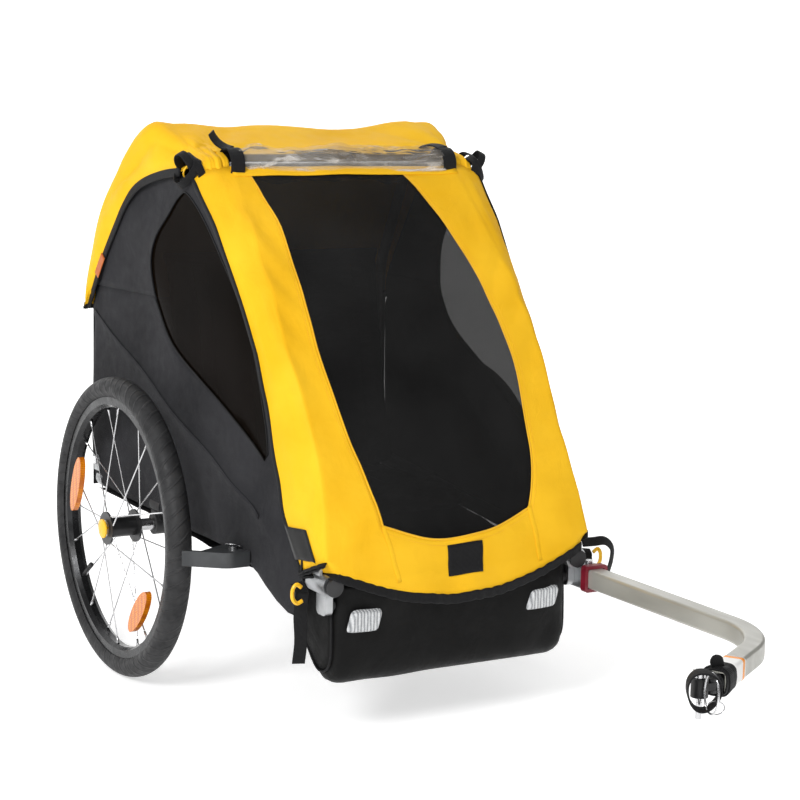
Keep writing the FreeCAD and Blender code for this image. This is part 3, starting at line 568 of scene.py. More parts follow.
# The cross tubes and the axle tube take the black finish so they stay dark behind the mesh: painted shade.
NODE_FINISH = {"wheel_guard_left": GUARD_PAINT, "wheel_guard_right": GUARD_PAINT,
               "tow_receiver": CASTING, "hitch_clevis": BLACK_METAL, "front_cross_tube": BLACK_METAL,
               "axle_tube": BLACK_METAL, "rear_cross_tube": BLACK_METAL, "floor_panel": LINING,
               "rail_left": BLACK_METAL, "rail_right": BLACK_METAL}


def dress_cad_nodes():
    """Every CAD node that shows gets the finish of its slot."""
    slot_of = {}
    for part in frame["record"]["subparts"]:
        slot_of[part["node"]] = part["material_slot"]
    for name, node in frame["nodes"].items():
        finish = NODE_FINISH.get(name) or SLOT_FINISH.get(slot_of.get(name), BLACK_PLASTIC)
        if not node.material_slots:
            node.data.materials.append(finish)
        for place in node.material_slots:
            place.material = finish


# ------------------------------------------------------------------ camera, floor, light

def add_camera():
    azimuth, elevation, roll = (math.radians(a) for a in (-30.924, 9.002, 1.291))
    back = Vector((math.sin(azimuth) * math.cos(elevation), -math.cos(azimuth) * math.cos(elevation),
                   math.sin(elevation)))
    data = bpy.data.cameras.new("camera")
    data.lens = 94.70
    data.sensor_width = 36.0
    camera = bpy.data.objects.new("camera", data)
    bpy.context.scene.collection.objects.link(camera)
    camera.rotation_mode = "QUATERNION"
    camera.location = at(-1.6680, -3.1106, 0.9963)
    camera.rotation_quaternion = (-back).to_track_quat("-Z", "Y") @ Quaternion((0, 0, 1), roll)
    bpy.context.scene.camera = camera


def add_floor():
    """White floor that curves up into a white wall behind. It glows, more away from the object: painted light
    that keeps the shadows near the object pale and the far floor white.
    """
    finish = Finish("floor", (0.80, 0.80, 0.80), 0.75, Specular_IOR_Level=0.2)
    finish.colour(finish.noise(0.8, 2.0), (0.79, 0.79, 0.79), (0.81, 0.81, 0.81))
    away = finish.node("ShaderNodeVectorMath", operation="LENGTH")
    finish.link(finish.place.outputs["Object"], away.inputs[0])
    # Painted light: the floor glows, least near the object, which lifts its shadows there.
    glow = finish.node("ShaderNodeMapRange", To_Min=0.55, To_Max=0.89)
    glow.inputs["From Min"].default_value = 0.7
    glow.inputs["From Max"].default_value = 3.2
    finish.link(away.outputs["Value"], glow.inputs[0])
    finish.link(glow.outputs[0], finish.shader.inputs["Emission Strength"])
    finish.shader.inputs["Emission Color"].default_value = (1, 1, 1, 1)
    line = [Vector((0, -9, 0)), Vector((0, 0, 0)), Vector((0, 4.0, 0))]
    line += [Vector((0, 4.0 + 2.5 * math.sin(a), 2.5 - 2.5 * math.cos(a)))
             for a in (math.pi / 2 * k / 16 for k in range(1, 17))]
    line.append(Vector((0, 6.5, 9.0)))
    points = [Vector((x, p.y, p.z)) for p in line for x in (-9.0, 9.0)]
    floor = mesh_piece("floor", points, grid_faces(len(line), 2), None, finish.material)


def add_area(name, place, target, size, energy):
    data = bpy.data.lights.new(name, "AREA")
    data.shape = "DISK"
    data.size = size
    data.energy = energy
    light = bpy.data.objects.new(name, data)
    bpy.context.scene.collection.objects.link(light)
    light.location = place
    light.rotation_mode = "QUATERNION"
    light.rotation_quaternion = (Vector(target) - Vector(place)).to_track_quat("-Z", "Y")


def add_light():
    world = bpy.data.worlds.new("studio")
    world.use_nodes = True
    background = world.node_tree.nodes["Background"]
    background.inputs["Color"].default_value = (1.0, 1.0, 1.0, 1)
    background.inputs["Strength"].default_value = 0.26
    bpy.context.scene.world = world
    aim = (0, AXLE_Y - 0.2, 0.5)
    add_area("key", (-3.1, AXLE_Y - 2.2, 2.5), aim, 1.3, 128)
    add_area("front", (1.2, AXLE_Y - 3.6, 2.4), aim, 2.4, 26)
    add_area("rim", (0.4, AXLE_Y + 0.6, 3.2), aim, 2.2, 16)
    bpy.context.scene.view_settings.view_transform = "Standard"


def bind(name, line, width, thick, body, up, material=BINDING, closed=False):
    """A flat tape sewn along a line."""
    return sweep_piece(name, line, strap_profile(width, thick), body, material, up, closed)


# ------------------------------------------------------------------ front cover

# Height of the cover's front face above the legs' straight line, by distance along that line
FRONT_RISE = [(-0.080, -0.004), (-0.040, 0.018), (0.0, 0.034), (0.060, 0.049), (0.130, 0.058), (0.250, 0.066),
              (0.400, 0.064), (0.520, 0.052), (0.600, 0.039), (0.665, 0.024)]
# The same for the cover's edge, which lies on the side of the body
EDGE_RISE = [(0.0, -0.042), (0.089, -0.040), (0.149, -0.021), (0.258, 0.010), (0.330, 0.025), (0.406, 0.029),
             (0.543, 0.026), (0.627, 0.012), (0.665, 0.004)]
RIDGE_X = [(-0.02, 0.226), (0.16, 0.216), (0.32, 0.222), (0.46, 0.215), (0.54, 0.208), (0.61, 0.203),
           (0.67, 0.200)]
COVER_TOP = 0.655
# The mesh window's outline on the front face, as (x, distance along the leg line)
WINDOW_LEFT = [(-0.176, 0.640), (-0.169, 0.593), (-0.161, 0.533), (-0.165, 0.413), (-0.167, 0.300),
               (-0.159, 0.173), (-0.145, 0.103), (-0.131, 0.026)]
WINDOW_BOTTOM = [(-0.131, 0.026), (-0.046, 0.001), (0.049, 0.004), (0.130, 0.032)]
WINDOW_RIGHT = [(0.103, 0.636), (0.127, 0.570), (0.157, 0.454), (0.169, 0.350), (0.170, 0.270),
                (0.162, 0.165), (0.151, 0.091), (0.130, 0.032)]


def cover_bottom(x):
    """Distance along the leg line of the cover's bottom edge."""
    share = min(1.0, abs(x) / 0.228)
    return mix(-0.066, -0.012, share ** 2)


def cover_at(x, a, out=0.0):
    """The front face at x, a metres along the leg line, plus an offset outwards."""
    wave = 0.0022 * math.sin(a * 23 + x * 9) * (1 - abs(x) * 3)
    slack = rough((x * 1.3, a, 0.0), 0.005, 9.0)
    strip = max(0.0, abs(x) - 0.150) / 0.070
    fall = -0.007 * strip * strip * min(1.0, max(0.0, a - 0.04) / 0.15)
    crease = 0.0026 * math.sin((a - 1.9 * abs(x)) * 62 + 1.3 * math.sin(a * 17)) * min(1.0, strip)
    crease *= max(0.0, 1 - abs(a - 0.42) / 0.24)
    hem = 0.0022 * math.sin(x * 47 + 2.0 * math.sin(x * 21)) * max(0.0, 1 - (a + 0.07) / 0.10)
    rise = table(FRONT_RISE, a) + wave + slack + out - fall + crease + hem
    start = Vector((0, FOOT.y, FOOT.z)) + RUN * a
    return start + OUT * rise + Vector((x, 0, 0))


def cover_edge(side, a, out=0.0):
    """The cover's edge on the body's side, at a."""
    rise = table(EDGE_RISE, a)
    point = Vector((0, FOOT.y, FOOT.z)) + RUN * a + OUT * rise
    return Vector((side * (side_x(point.y - AXLE_Y, 0.0045) + out), point.y, point.z))


def cover_side(side, a, turn, out=0.0):
    """Between the ridge (turn 0) and the edge (turn 1), over the leg tube."""
    ridge = cover_at(side * table(RIDGE_X, a), a)
    edge = cover_edge(side, max(a, 0.002))
    angle = turn * math.pi / 2
    power = mix(0.62, 2 / 1.45, min(1.0, max(0.0, a + 0.012) / 0.10))
    across = math.sin(angle) ** power
    back = 1 - math.cos(angle) ** power
    point = Vector((mix(ridge.x, edge.x, across), mix(ridge.y, edge.y, back), mix(ridge.z, edge.z, back)))
    fold = rough((a * 1.2, turn * 0.4 + side, 3.0), 0.006, 11.0) * math.sin(math.pi * turn)
    return point + (OUT * (1 - turn) + Vector((side, 0, 0)) * turn) * (out + fold)


def as_vectors(points):
    return [Vector((x, a, 0)) for x, a in points]


def cover_rings(count, steps):
    """Rows of (x, a) points from the window's outline to the ridge and the bottom, side by side."""
    inner = {"left": smooth_line(as_vectors(WINDOW_LEFT), count),
             "bottom": smooth_line(as_vectors(WINDOW_BOTTOM), count),
             "right": list(reversed(smooth_line(as_vectors(WINDOW_RIGHT), count)))}
    outer = {
        "left": [Vector((-table(RIDGE_X, a), a, 0))
                 for a in (mix(COVER_TOP, -0.012, i / (count - 1)) for i in range(count))],
        "bottom": [Vector((x, cover_bottom(x), 0))
                   for x in (mix(-0.226, 0.226, i / (count - 1)) for i in range(count))],
        "right": [Vector((table(RIDGE_X, a), a, 0))
                  for a in (mix(-0.012, COVER_TOP, i / (count - 1)) for i in range(count))],
    }
    around_inner, around_outer = [], []
    for name in ("left", "bottom", "right"):
        skip = 0 if name == "left" else 1
        around_inner += inner[name][skip:]
        around_outer += outer[name][skip:]
    return [[mix(a, b, i / steps) for a, b in zip(around_inner, around_outer)] for i in range(steps + 1)]


def front_cover():
    count, steps, turns = 44, 12, 10
    flat_rows = cover_rings(count, steps)
    rows = [[cover_at(p.x, p.y) for p in row] for row in flat_rows]
    last = flat_rows[-1]
    for k in range(1, turns + 1):
        turn = k / turns
        row = []
        for i, p in enumerate(last):
            if i < count:
                row.append(cover_side(-1, p.y, turn))
            elif i >= 2 * count - 2:
                row.append(cover_side(1, p.y, turn))
            else:
                row.append(cover_at(p.x, p.y - 0.0012 * k))
        rows.append(row)
    cover = sheet_piece("front_cover_fabric", rows, "cover", YELLOW, 0.0013)
    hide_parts("front_cover")
    return rows, count


def window_rows(columns=30, count=44):
    left = smooth_line(as_vectors(WINDOW_LEFT), count)
    right = smooth_line(as_vectors(WINDOW_RIGHT), count)
    bottom = smooth_line(as_vectors(WINDOW_BOTTOM), columns)
    rows = []
    for i in range(count):
        t = i / (count - 1)
        row = []
        for j in range(columns):
            s = j / (columns - 1)
            straight = mix(left[i], right[i], s)
            sag = bottom[j] - mix(bottom[0], bottom[-1], s)
            row.append(straight + sag * t ** 3)
        rows.append(row)
    return rows


# The seams below the window's corners, from the window down, as (x, distance along the leg line)
COVER_SEAMS = (("left", (-0.131, 0.026), (-0.112, -0.052)), ("right", (0.131, 0.034), (0.139, -0.046)))


def cover_details(rows, count):
    """Window mesh, hems, bindings, seams and patches of the front cover."""
    flat = window_rows()
    centre = Vector((0, 0.3, 0))
    grown = [[p + (p - centre) * 0.02 for p in row] for row in flat]
    mesh_rows = [[cover_at(p.x, p.y, -0.0022) for p in row] for row in grown]
    mesh = sheet_piece("cover_window_mesh", mesh_rows, "cover", MESH, 0.0)
    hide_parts("cover_mesh")

    band_rows = [[cover_at(mix(-0.205, 0.205, i / 40), a, 0.0014) for i in range(41)]
                 for a in (0.634, 0.639, 0.644, 0.649, 0.653)]
    sheet_piece("cover_top_band", band_rows, "cover", YELLOW, 0.0014)

    outline = []
    for points in (WINDOW_LEFT, WINDOW_BOTTOM, list(reversed(WINDOW_RIGHT))):
        outline += smooth_line(as_vectors(points), 40)[(1 if outline else 0):]
    hem = [cover_at(p.x, p.y, 0.0006) for p in outline]
    bind("window_hem", hem, 0.003, 0.0016, "cover", OUT, THREAD)
    stitch_row("window_stitches", [p + (p - centre).normalized() * 0.009 for p in outline], "cover")

    for name, start, end in COVER_SEAMS:
        seam = [cover_at(mix(start[0], end[0], t / 12), mix(start[1], end[1], t / 12), 0.0012)
                for t in range(13)]
        bind(f"cover_seam_{name}", seam, 0.007, 0.0012, "cover", OUT, YELLOW)

    low = 2 * count - 1
    edge = rows[-1]
    bottom = [cover_side(-1, -0.012, t / 8) for t in range(8, 0, -1)]
    bottom += edge[count - 1:low]
    bottom += [cover_side(1, -0.012, t / 8) for t in range(1, 9)]
    band = []
    for i, p in enumerate(even(bottom, 150)):
        gather = 0.0012 * math.sin(i * 1.9) + rough((i * 0.7, 0, 0), 0.0015, 1.0)
        band.append(p + Vector((0, -0.001 + gather, -0.004 + gather * 0.6)))
    strap = bind("cover_hem_binding", band, 0.016, 0.0044, "cover", OUT)
    modify(strap, "SUBSURF", levels=1, render_levels=1)

    for side, name in SIDES:
        line = [cover_edge(side, mix(0.0, 0.652, t / 60), 0.0006) for t in range(61)]
        bind(f"cover_edge_{name}", line, 0.0095, 0.003, "cover", Vector((side, 0, 0)))

    patch_rows = [[cover_at(mix(-0.024, 0.034, i / 8) + 0.001 * math.sin(j * 0.7),
                            mix(-0.010, -0.052, j / 8), 0.0022) for i in range(9)] for j in range(9)]
    sheet_piece("front_patch", patch_rows, "cover", BINDING, 0.0012, 1.0)
    for side, name in SIDES:
        tape_rows = []
        for j in range(9):
            a = mix(0.046, -0.010, j / 8)
            tape_rows.append([cover_side(side, a + 0.030 * i / 8, mix(0.62, 1.0, i / 8), 0.0022)
                              for i in range(9)])
        sheet_piece(f"hook_tape_{name}", tape_rows, "cover", HOOK_TAPE, 0.0012, 1.0)


def stitch_row(name, flat_line, body, gap=0.0045, length=0.0030):
    """Short raised stitches along a line on the cover's face."""
    line = [cover_at(p.x, p.y, 0.0009) for p in flat_line]
    total = sum((b - a).length for a, b in zip(line, line[1:]))
    spots = even(line, int(total / gap))
    points, faces = [], []
    for a, b in zip(spots, spots[1:]):
        run = (b - a).normalized()
        side = run.cross(OUT).normalized() * 0.0005
        rise = OUT * 0.0005
        start, end = a, a + run * length
        k = len(points)
        points += [start - side, start + side, end + side, end - side,
                   mix(start, end, 0.3) + rise, mix(start, end, 0.7) + rise]
        faces += [(k, k + 4, k + 1), (k + 1, k + 4, k + 5, k + 2), (k + 2, k + 5, k + 3),
                  (k + 3, k + 5, k + 4, k), (k, k + 1, k + 2, k + 3)]
    mesh_piece(name, points, faces, body, THREAD, flat=True)


# ------------------------------------------------------------------ hood

# Rear hood: its ridge line and the edge of its side flaps, in the side plane (y, z)
ROOF = [(-0.100, 0.853), (-0.060, 0.866), (-0.010, 0.886), (0.022, 0.897), (0.048, 0.890), (0.095, 0.858),
        (0.140, 0.812), (0.178, 0.765), (0.206, 0.712), (0.225, 0.662), (0.233, 0.612), (0.229, 0.585)]
FLAP = [(-0.092, 0.826), (-0.064, 0.824), (-0.030, 0.819), (0.010, 0.810), (0.042, 0.799), (0.068, 0.784),
        (0.096, 0.759), (0.123, 0.725), (0.158, 0.681), (0.188, 0.637), (0.208, 0.606), (0.222, 0.583)]
# Radius of the bend between roof and flap, by share of the way from front to rear
CORNER = [(0.0, 0.016), (0.22, 0.024), (0.5, 0.030), (0.8, 0.022), (1.0, 0.012)]
# How far inside the body's side the roof's edge lies: it narrows to the crossbar at the front
HOOD_SHOULDER = [(-0.100, 0.040), (-0.040, 0.026), (0.010, 0.010), (0.040, 0.006), (0.120, 0.0)]


def hood_section(t, legs=9, arcs=9, middle_count=26):
    """Points across the hood at share t from its front hem to its rear hem."""
    roof = ROOF_LINE[round(t * (len(ROOF_LINE) - 1))]
    flap = FLAP_LINE[round(t * (len(FLAP_LINE) - 1))]
    half = side_x(roof.y, 0.0075) - table(HOOD_SHOULDER, roof.y)
    low_half = side_x(flap.y, 0.0060)
    rise = Vector((0, roof.y - flap.y, roof.z - flap.z))
    radius = min(table(CORNER, t), rise.length * 0.9)
    up = rise.normalized()
    made = []
    top = Vector((half, roof.y, roof.z))
    low = Vector((low_half, flap.y, flap.z))
    shoulder = top - up * radius
    for i in range(legs):
        s = i / legs
        made.append(mix(low, shoulder, s) + Vector((0.004 * math.sin(math.pi * s), 0, 0)))
    centre = shoulder - Vector((radius, 0, 0))
    for i in range(arcs):
        angle = math.pi / 2 * i / arcs
        made.append(centre + Vector((math.cos(angle) * radius, 0, 0)) + up * (math.sin(angle) * radius))
    start = top - Vector((radius, 0, 0))
    for i in range(middle_count // 2 + 1):
        s = i / (middle_count // 2)
        sag = -0.007 * math.sin(math.pi / 2 * s) * math.sin(math.pi * min(1, t * 1.4))
        made.append(Vector((start.x * (1 - s), start.y, start.z)) + up * sag)
    other = [Vector((-p.x, p.y, p.z)) for p in reversed(made[:-1])]
    return made + other


def line_in_side(points, count):
    return smooth_line([Vector((0, y, z)) for y, z in points], count)


ROOF_LINE = line_in_side(ROOF, 61)
FLAP_LINE = line_in_side(FLAP, 61)


def hood_fold(point, t):
    """Creases that fan from the crossbar's ends, and soft slack elsewhere."""
    gather = Vector((math.copysign(0.235, point.x), -0.09, 0.84))
    away = Vector((point.x, point.y, point.z)) - gather
    angle = math.atan2(away.y, abs(away.x) + away.z * 0.4)
    near = max(0.0, 1 - away.length / 0.20)
    fan = 0.0135 * near * (abs(math.sin(angle * 4.5)) - 0.6) * min(1.0, away.length / 0.03)
    corner = max(0.0, abs(point.x) - 0.10) / 0.17
    run = point.y * 31 + point.z * 24 + 0.8 * math.sin(point.z * 31)
    drape = 0.0100 * (abs(math.sin(run)) - 0.6) * min(1.0, corner)
    drape *= max(0.0, 1 - abs(t - 0.34) / 0.30)
    return fan + drape + rough((point.x * 0.7, point.y, point.z), 0.0075, 10.0) * min(1, t * 5 + 0.2)


def hood():
    rows = []
    for i in range(61):
        t = i / 60
        row = hood_section(t)
        count = len(row)
        moved = []
        for j, p in enumerate(row):
            local = Vector((p.x, p.y, p.z))
            a, b = row[max(j - 1, 0)], row[min(j + 1, count - 1)]
            ahead = hood_section(min(1, t + 1 / 60))[j] - hood_section(max(0, t - 1 / 60))[j]
            normal = (b - a).cross(ahead).normalized()
            if normal.dot(Vector((p.x * 2, 0.3, 0.6))) < 0:
                normal = -normal
            edge = min(1.0, min(j, count - 1 - j) / 5)
            moved.append(at(*(local + normal * (hood_fold(local, t) * edge + 0.001))))
        rows.append(moved)
    piece = sheet_piece("hood_fabric", rows, "rear_hoop", YELLOW, 0.0013)
    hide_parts("hood")
    soft = [piece]
    for side, name in ((0, "right"), (-1, "left")):
        line = [row[side] + Vector((0.0012 if side == 0 else -0.0012, 0, -0.002)) for row in rows]
        soft.append(bind(f"hood_binding_{name}", line, 0.014, 0.0032, "rear_hoop",
                         Vector((1 if side == 0 else -1, 0, 0))))
    line = [p + Vector((0, 0.002, -0.002)) for p in rows[-1]]
    soft.append(bind("hood_rear_binding", line, 0.012, 0.0032, "rear_hoop", Vector((0, 1, 0))))
    tab = [rows[44][-1], rows[47][-1], rows[50][-1]]
    tab = [p + Vector((-0.004, 0, -0.004)) for p in tab]
    soft.append(strap_piece("hood_reflective_tab", tab, 0.016, 0.0018, Vector((-1, 0, 0)), "rear_hoop",
                            ORANGE_TAPE, 10))
    for cloth in soft:
        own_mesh(cloth)


# ------------------------------------------------------------------ sides

WINDOW_SHAPE = [(-0.080, 0.786), (-0.044, 0.753), (-0.011, 0.720), (0.006, 0.684), (0.004, 0.643),
                (-0.012, 0.601), (-0.067, 0.546), (-0.204, 0.483), (-0.293, 0.436), (-0.350, 0.408),
                (-0.345, 0.450), (-0.312, 0.550), (-0.272, 0.621), (-0.188, 0.728), (-0.114, 0.790)]
SIDE_EDGE = [(-0.084, 0.822), (-0.030, 0.834), (0.030, 0.822), (0.092, 0.785), (0.158, 0.706), (0.204, 0.625),
             (0.212, 0.560),
             (0.213, 0.400), (0.213, 0.290), (0.180, 0.281), (0.030, 0.268), (-0.090, 0.258), (-0.190, 0.255),
             (-0.260, 0.249), (-0.330, 0.228), (-0.400, 0.196), (-0.448, 0.190), (-0.458, 0.235),
             (-0.452, 0.290), (-0.420, 0.330), (-0.392, 0.372), (-0.352, 0.482), (-0.318, 0.562),
             (-0.276, 0.634), (-0.193, 0.742), (-0.132, 0.803)]


def side_wrinkle(y, z):
    """How far the side fabric stands out at (y, z): a fold from the rear, and creases at the front."""
    seam = 0.549 + (y - 0.147) * 0.475
    fold = 0.0042 * math.exp(-((z - seam) / 0.012) ** 2)
    creases = 0.0038 * math.sin((y * 0.6 + z) * 60 + 2.0 * math.sin(y * 14))
    creases *= max(0, 1 - abs(y + 0.33) / 0.17)
    slack = rough((y, z, 5.0), 0.0075, 7.5)
    return fold + creases * max(0.0, 1 - abs(z - 0.33) / 0.16) + slack


def side_at(side, y, z, out=0.0):
    return at(side * (side_x(y, 0.0018) + out + side_wrinkle(y, z)), y, z)


def to_edge(outline, centre, count):
    """Points round an outline at even angles about a centre."""
    closed = catmull([Vector((y, z, 0)) for y, z in outline], 10, True)
    found = []
    for k in range(count):
        angle = 2 * math.pi * k / count
        ray = Vector((math.cos(angle), math.sin(angle), 0))
        best = 0.0
        for a, b in zip(closed, closed[1:] + closed[:1]):
            edge = b - a
            cross = ray.x * edge.y - ray.y * edge.x
            if abs(cross) < 1e-12:
                continue
            away = a - centre
            t = (away.x * edge.y - away.y * edge.x) / cross
            s = (away.x * ray.y - away.y * ray.x) / cross
            if 0 <= s <= 1 and t > best:
                best = t
        found.append(centre + ray * best)
    return found


def side_panels():
    centre = Vector((-0.12, 0.62, 0))
    count, steps = 150, 26
    inner = to_edge(WINDOW_SHAPE, centre, count)
    outer = to_edge(SIDE_EDGE, centre, count)
    for side, name in SIDES:
        rows = []
        for i in range(steps + 1):
            row = [mix(a, b, i / steps) for a, b in zip(inner, outer)]
            row.append(row[0])
            rows.append([side_at(side, p.x, p.y) for p in row])
        panel = sheet_piece(f"side_fabric_{name}", rows, "base", DARK, 0.0013)
        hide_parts(f"side_panel_{name}")

        film_rows = []
        for i in range(13):
            t = i / 12
            row = [mix(centre, p + (p - centre).normalized() * 0.006, t) for p in inner]
            row.append(row[0])
            film_rows.append([at(side * (side_x(p.x, 0.0006) + side_wrinkle(p.x, p.y) * t ** 4), p.x, p.y)
                              for p in row])
        # The far right film is thinner so it reads lighter, as painted light; the near left one is nearly
        # opaque, as painted shade.
        tint = TINT if side < 0 else TINT_FAR_PAINTED_LIGHT
        film = sheet_piece(f"side_film_{name}", film_rows, "base", tint, 0.0)
        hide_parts(f"side_window_{name}")

        piping = [side_at(side, p.x, p.y, 0.0012) for p in inner]
        pipe = sweep_piece(f"window_piping_{name}", piping, circle_profile(0.0013, 8), "base", BINDING,
                           Vector((side, 0, 0)), True)
        seam = []
        for k in range(40):
            y = mix(0.205, -0.335, k / 39)
            z = 0.549 + (y - 0.147) * 0.475 - 0.001
            seam.append(side_at(side, y, z, 0.0012))
        ridge = bind(f"side_seam_{name}", seam, 0.007, 0.0016, "base", Vector((side, 0, 0)), DARK)
        front = [side_at(side, y, z, 0.0016) for y, z in
                 [(p.x, p.y) for p in smooth_line([Vector((y, z, 0)) for y, z in SIDE_EDGE[17:]], 60)]]
        tape = bind(f"side_front_binding_{name}", front, 0.006, 0.0022, "base", Vector((side, 0, 0)))
        for piece in (panel, film, pipe, ridge, tape):
            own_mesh(piece)


def floor_skirts():
    """Fabric strips that close the gap between the floor panel's edges and the side panels."""
    for side, name in SIDES:
        rows = []
        for i in range(25):
            y = mix(-0.302, 0.205, i / 24)
            z = mix(0.2352, 0.2715, i / 24)
            row = []
            for j in range(7):
                inward = mix(0.036, 0.001, j / 6)
                slack = rough((inward * 4, y, side * 3.0), 0.003, 20.0)
                sag = 0.003 * math.sin(math.pi * j / 6)
                row.append(at(side * side_x(y, -inward), y, z - sag + slack - 0.001))
            rows.append(row)
        skirt = sheet_piece(f"floor_skirt_{name}", rows, "base", LINING, 0.0)


def back_panel():
    rows = []
    for i in range(25):
        z = mix(0.274, 0.592, i / 24)
        row = []
        for j in range(41):
            x = mix(-1, 1, j / 40)
            half = side_x(0.214, 0.001)
            bulge = 0.006 * (1 - x * x) + rough((x * 0.4, z, 8.0), 0.006, 8.0) * (1 - x ** 4)
            row.append(at(x * half, 0.2155 + bulge, z))
        rows.append(row)
    panel = sheet_piece("back_fabric", rows, "base", DARK, 0.0013)
    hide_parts("back_panel")
    pieces = [panel]
    for z, name in ((0.318, "low"), (0.560, "high")):
        line = [at(mix(-0.28, 0.28, k / 30), 0.219 + 0.006 * (1 - mix(-1, 1, k / 30) ** 2), z)
                for k in range(31)]
        pieces.append(bind(f"back_binding_{name}", line, 0.012, 0.0024, "base", Vector((0, 1, 0))))
    for x, name in ((-0.13, "left"), (0.13, "right")):
        line = [at(x, 0.2255, z) for z in (0.318, 0.40, 0.48, 0.560)]
        pieces.append(strap_piece(f"back_strap_{name}", line, 0.025, 0.0022, Vector((0, 1, 0)), "base",
                                  WEBBING))
    for piece in pieces:
        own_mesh(piece)


# ------------------------------------------------------------------ nose

NOSE_PROFILE = [(-0.5085, 0.246), (-0.5070, 0.205), (-0.5045, 0.150), (-0.5010, 0.116), (-0.4900, 0.0970),
                (-0.4700, 0.0895), (-0.4500, 0.0985), (-0.4130, 0.138), (-0.3750, 0.186), (-0.3480, 0.214),
                (-0.3200, 0.229), (-0.2980, 0.240)]


def nose_half(y):
    return 0.2055 + (y + 0.509) * 0.073


def nose():
    """Footwell fabric: front, bottom and rear slope in one sheet, and two side gussets."""
    line = smooth_line([Vector((0, y, z)) for y, z in NOSE_PROFILE], 56)
    columns = 61
    rows = []
    for p in line:
        half = nose_half(p.y)
        row = []
        for j in range(columns):
            x = mix(-1, 1, j / (columns - 1))
            round_off = max(0.0, (abs(x) * half - (half - 0.028)) / 0.028)
            depth = (1 - math.sqrt(max(0.0, 1 - round_off ** 2))) * 0.020
            mid = Vector((0, -0.42, 0.24))
            inward = (mid - p).normalized() * depth
            sag = rough((x * 0.32, p.y * 1.2, p.z), 0.0085, 9.0) * (1 - abs(x) ** 6)
            sag *= min(1.0, max(0.25, (p.z - 0.09) / 0.06))
            fold = 0.004 * math.sin((x * half + p.z * 0.7) * 70) * max(0.0, 1 - abs(abs(x) - 0.80) / 0.2)
            fold *= max(0.0, 1 - abs(p.z - 0.20) / 0.06)
            row.append(at(x * half, p.y, p.z) + inward - (mid - p).normalized() * (sag + fold))
        rows.append(row)
    skin = sheet_piece("nose_fabric", rows, "base", NOSE, 0.0016)
    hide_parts("nose_tub")
    for side, name in SIDES:
        edge = [row[0 if side < 0 else -1] for row in rows]
        centre = at(side * (nose_half(-0.42) + 0.001), -0.405, 0.235)
        gusset = []
        for k in range(9):
            t = k / 8
            ring = []
            for p in edge:
                q = mix(p, centre, t)
                arch = math.sin(math.pi * t)
                bulge = 0.004 * arch + rough((q.y, q.z, side), 0.004, 16.0) * arch
                ring.append(q + Vector((side * bulge, 0, 0)))
            gusset.append(ring)
        piece = sheet_piece(f"nose_gusset_{name}", gusset, "base", NOSE, 0.0014)
        seam = [p + Vector((side * 0.0012, 0, 0)) for p in edge]
        sweep_piece(f"nose_seam_{name}", seam, circle_profile(0.0020, 8), "base", BINDING,
                    Vector((side, 0, 0)))


def nose_reflectors():
    """Slanted prismatic reflectors in a rim, with upright facets."""
    for side, name in SIDES:
        x = 0.158 * side
        columns = 29
        rows = []
        for j in range(13):
            v = mix(-1, 1, j / 12)
            row = []
            for i in range(columns):
                u = mix(-1, 1, i / (columns - 1))
                squircle = (abs(u) ** 6 + abs(v) ** 6) ** (1 / 6)
                edge = max(0.0, (squircle - 0.80) / 0.20)
                facet = 0.0014 * (abs((u * 2.5) % 1.0 - 0.5) * 2) * (1 - edge)
                depth = 0.0095 - 0.0075 * min(1, edge) ** 2.2 + facet
                shape = 1 / max(1.0, squircle)
                row.append(at(x - 0.005 + (u * 0.0265 + v * 0.0045) * shape, -0.5085 - depth,
                              0.191 + (v * 0.0170 + side * u * 0.001) * shape))
            rows.append(row)
        sheet_piece(f"nose_reflector_{name}", rows, "base", WHITE_LENS, 0.0)
    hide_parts("nose_reflectors")


# ------------------------------------------------------------------ rolled window and crossbar ends

ROLL_HALF, ROLL_Y, ROLL_Z = 0.190, -0.1300, 0.8385
ROLL_DEEP, ROLL_TALL = 0.0160, 0.0285


def roll_shape(u, angle):
    """Distance out from the roll's middle, uneven and creased along its length."""
    ends = min(1.0, (1 - abs(u)) / 0.12)
    flat = mix(0.62, 1.0, ends)
    long_crease = 0.10 * math.sin(angle * 5 + 3 * u) + 0.07 * math.sin(angle * 9 - 7 * u)
    ripple = noise.noise(Vector((u * 5.5, math.cos(angle) * 2.1, math.sin(angle) * 2.1))) * 0.34
    return flat * (1 + (long_crease + ripple) * mix(1.4, 0.8, ends))


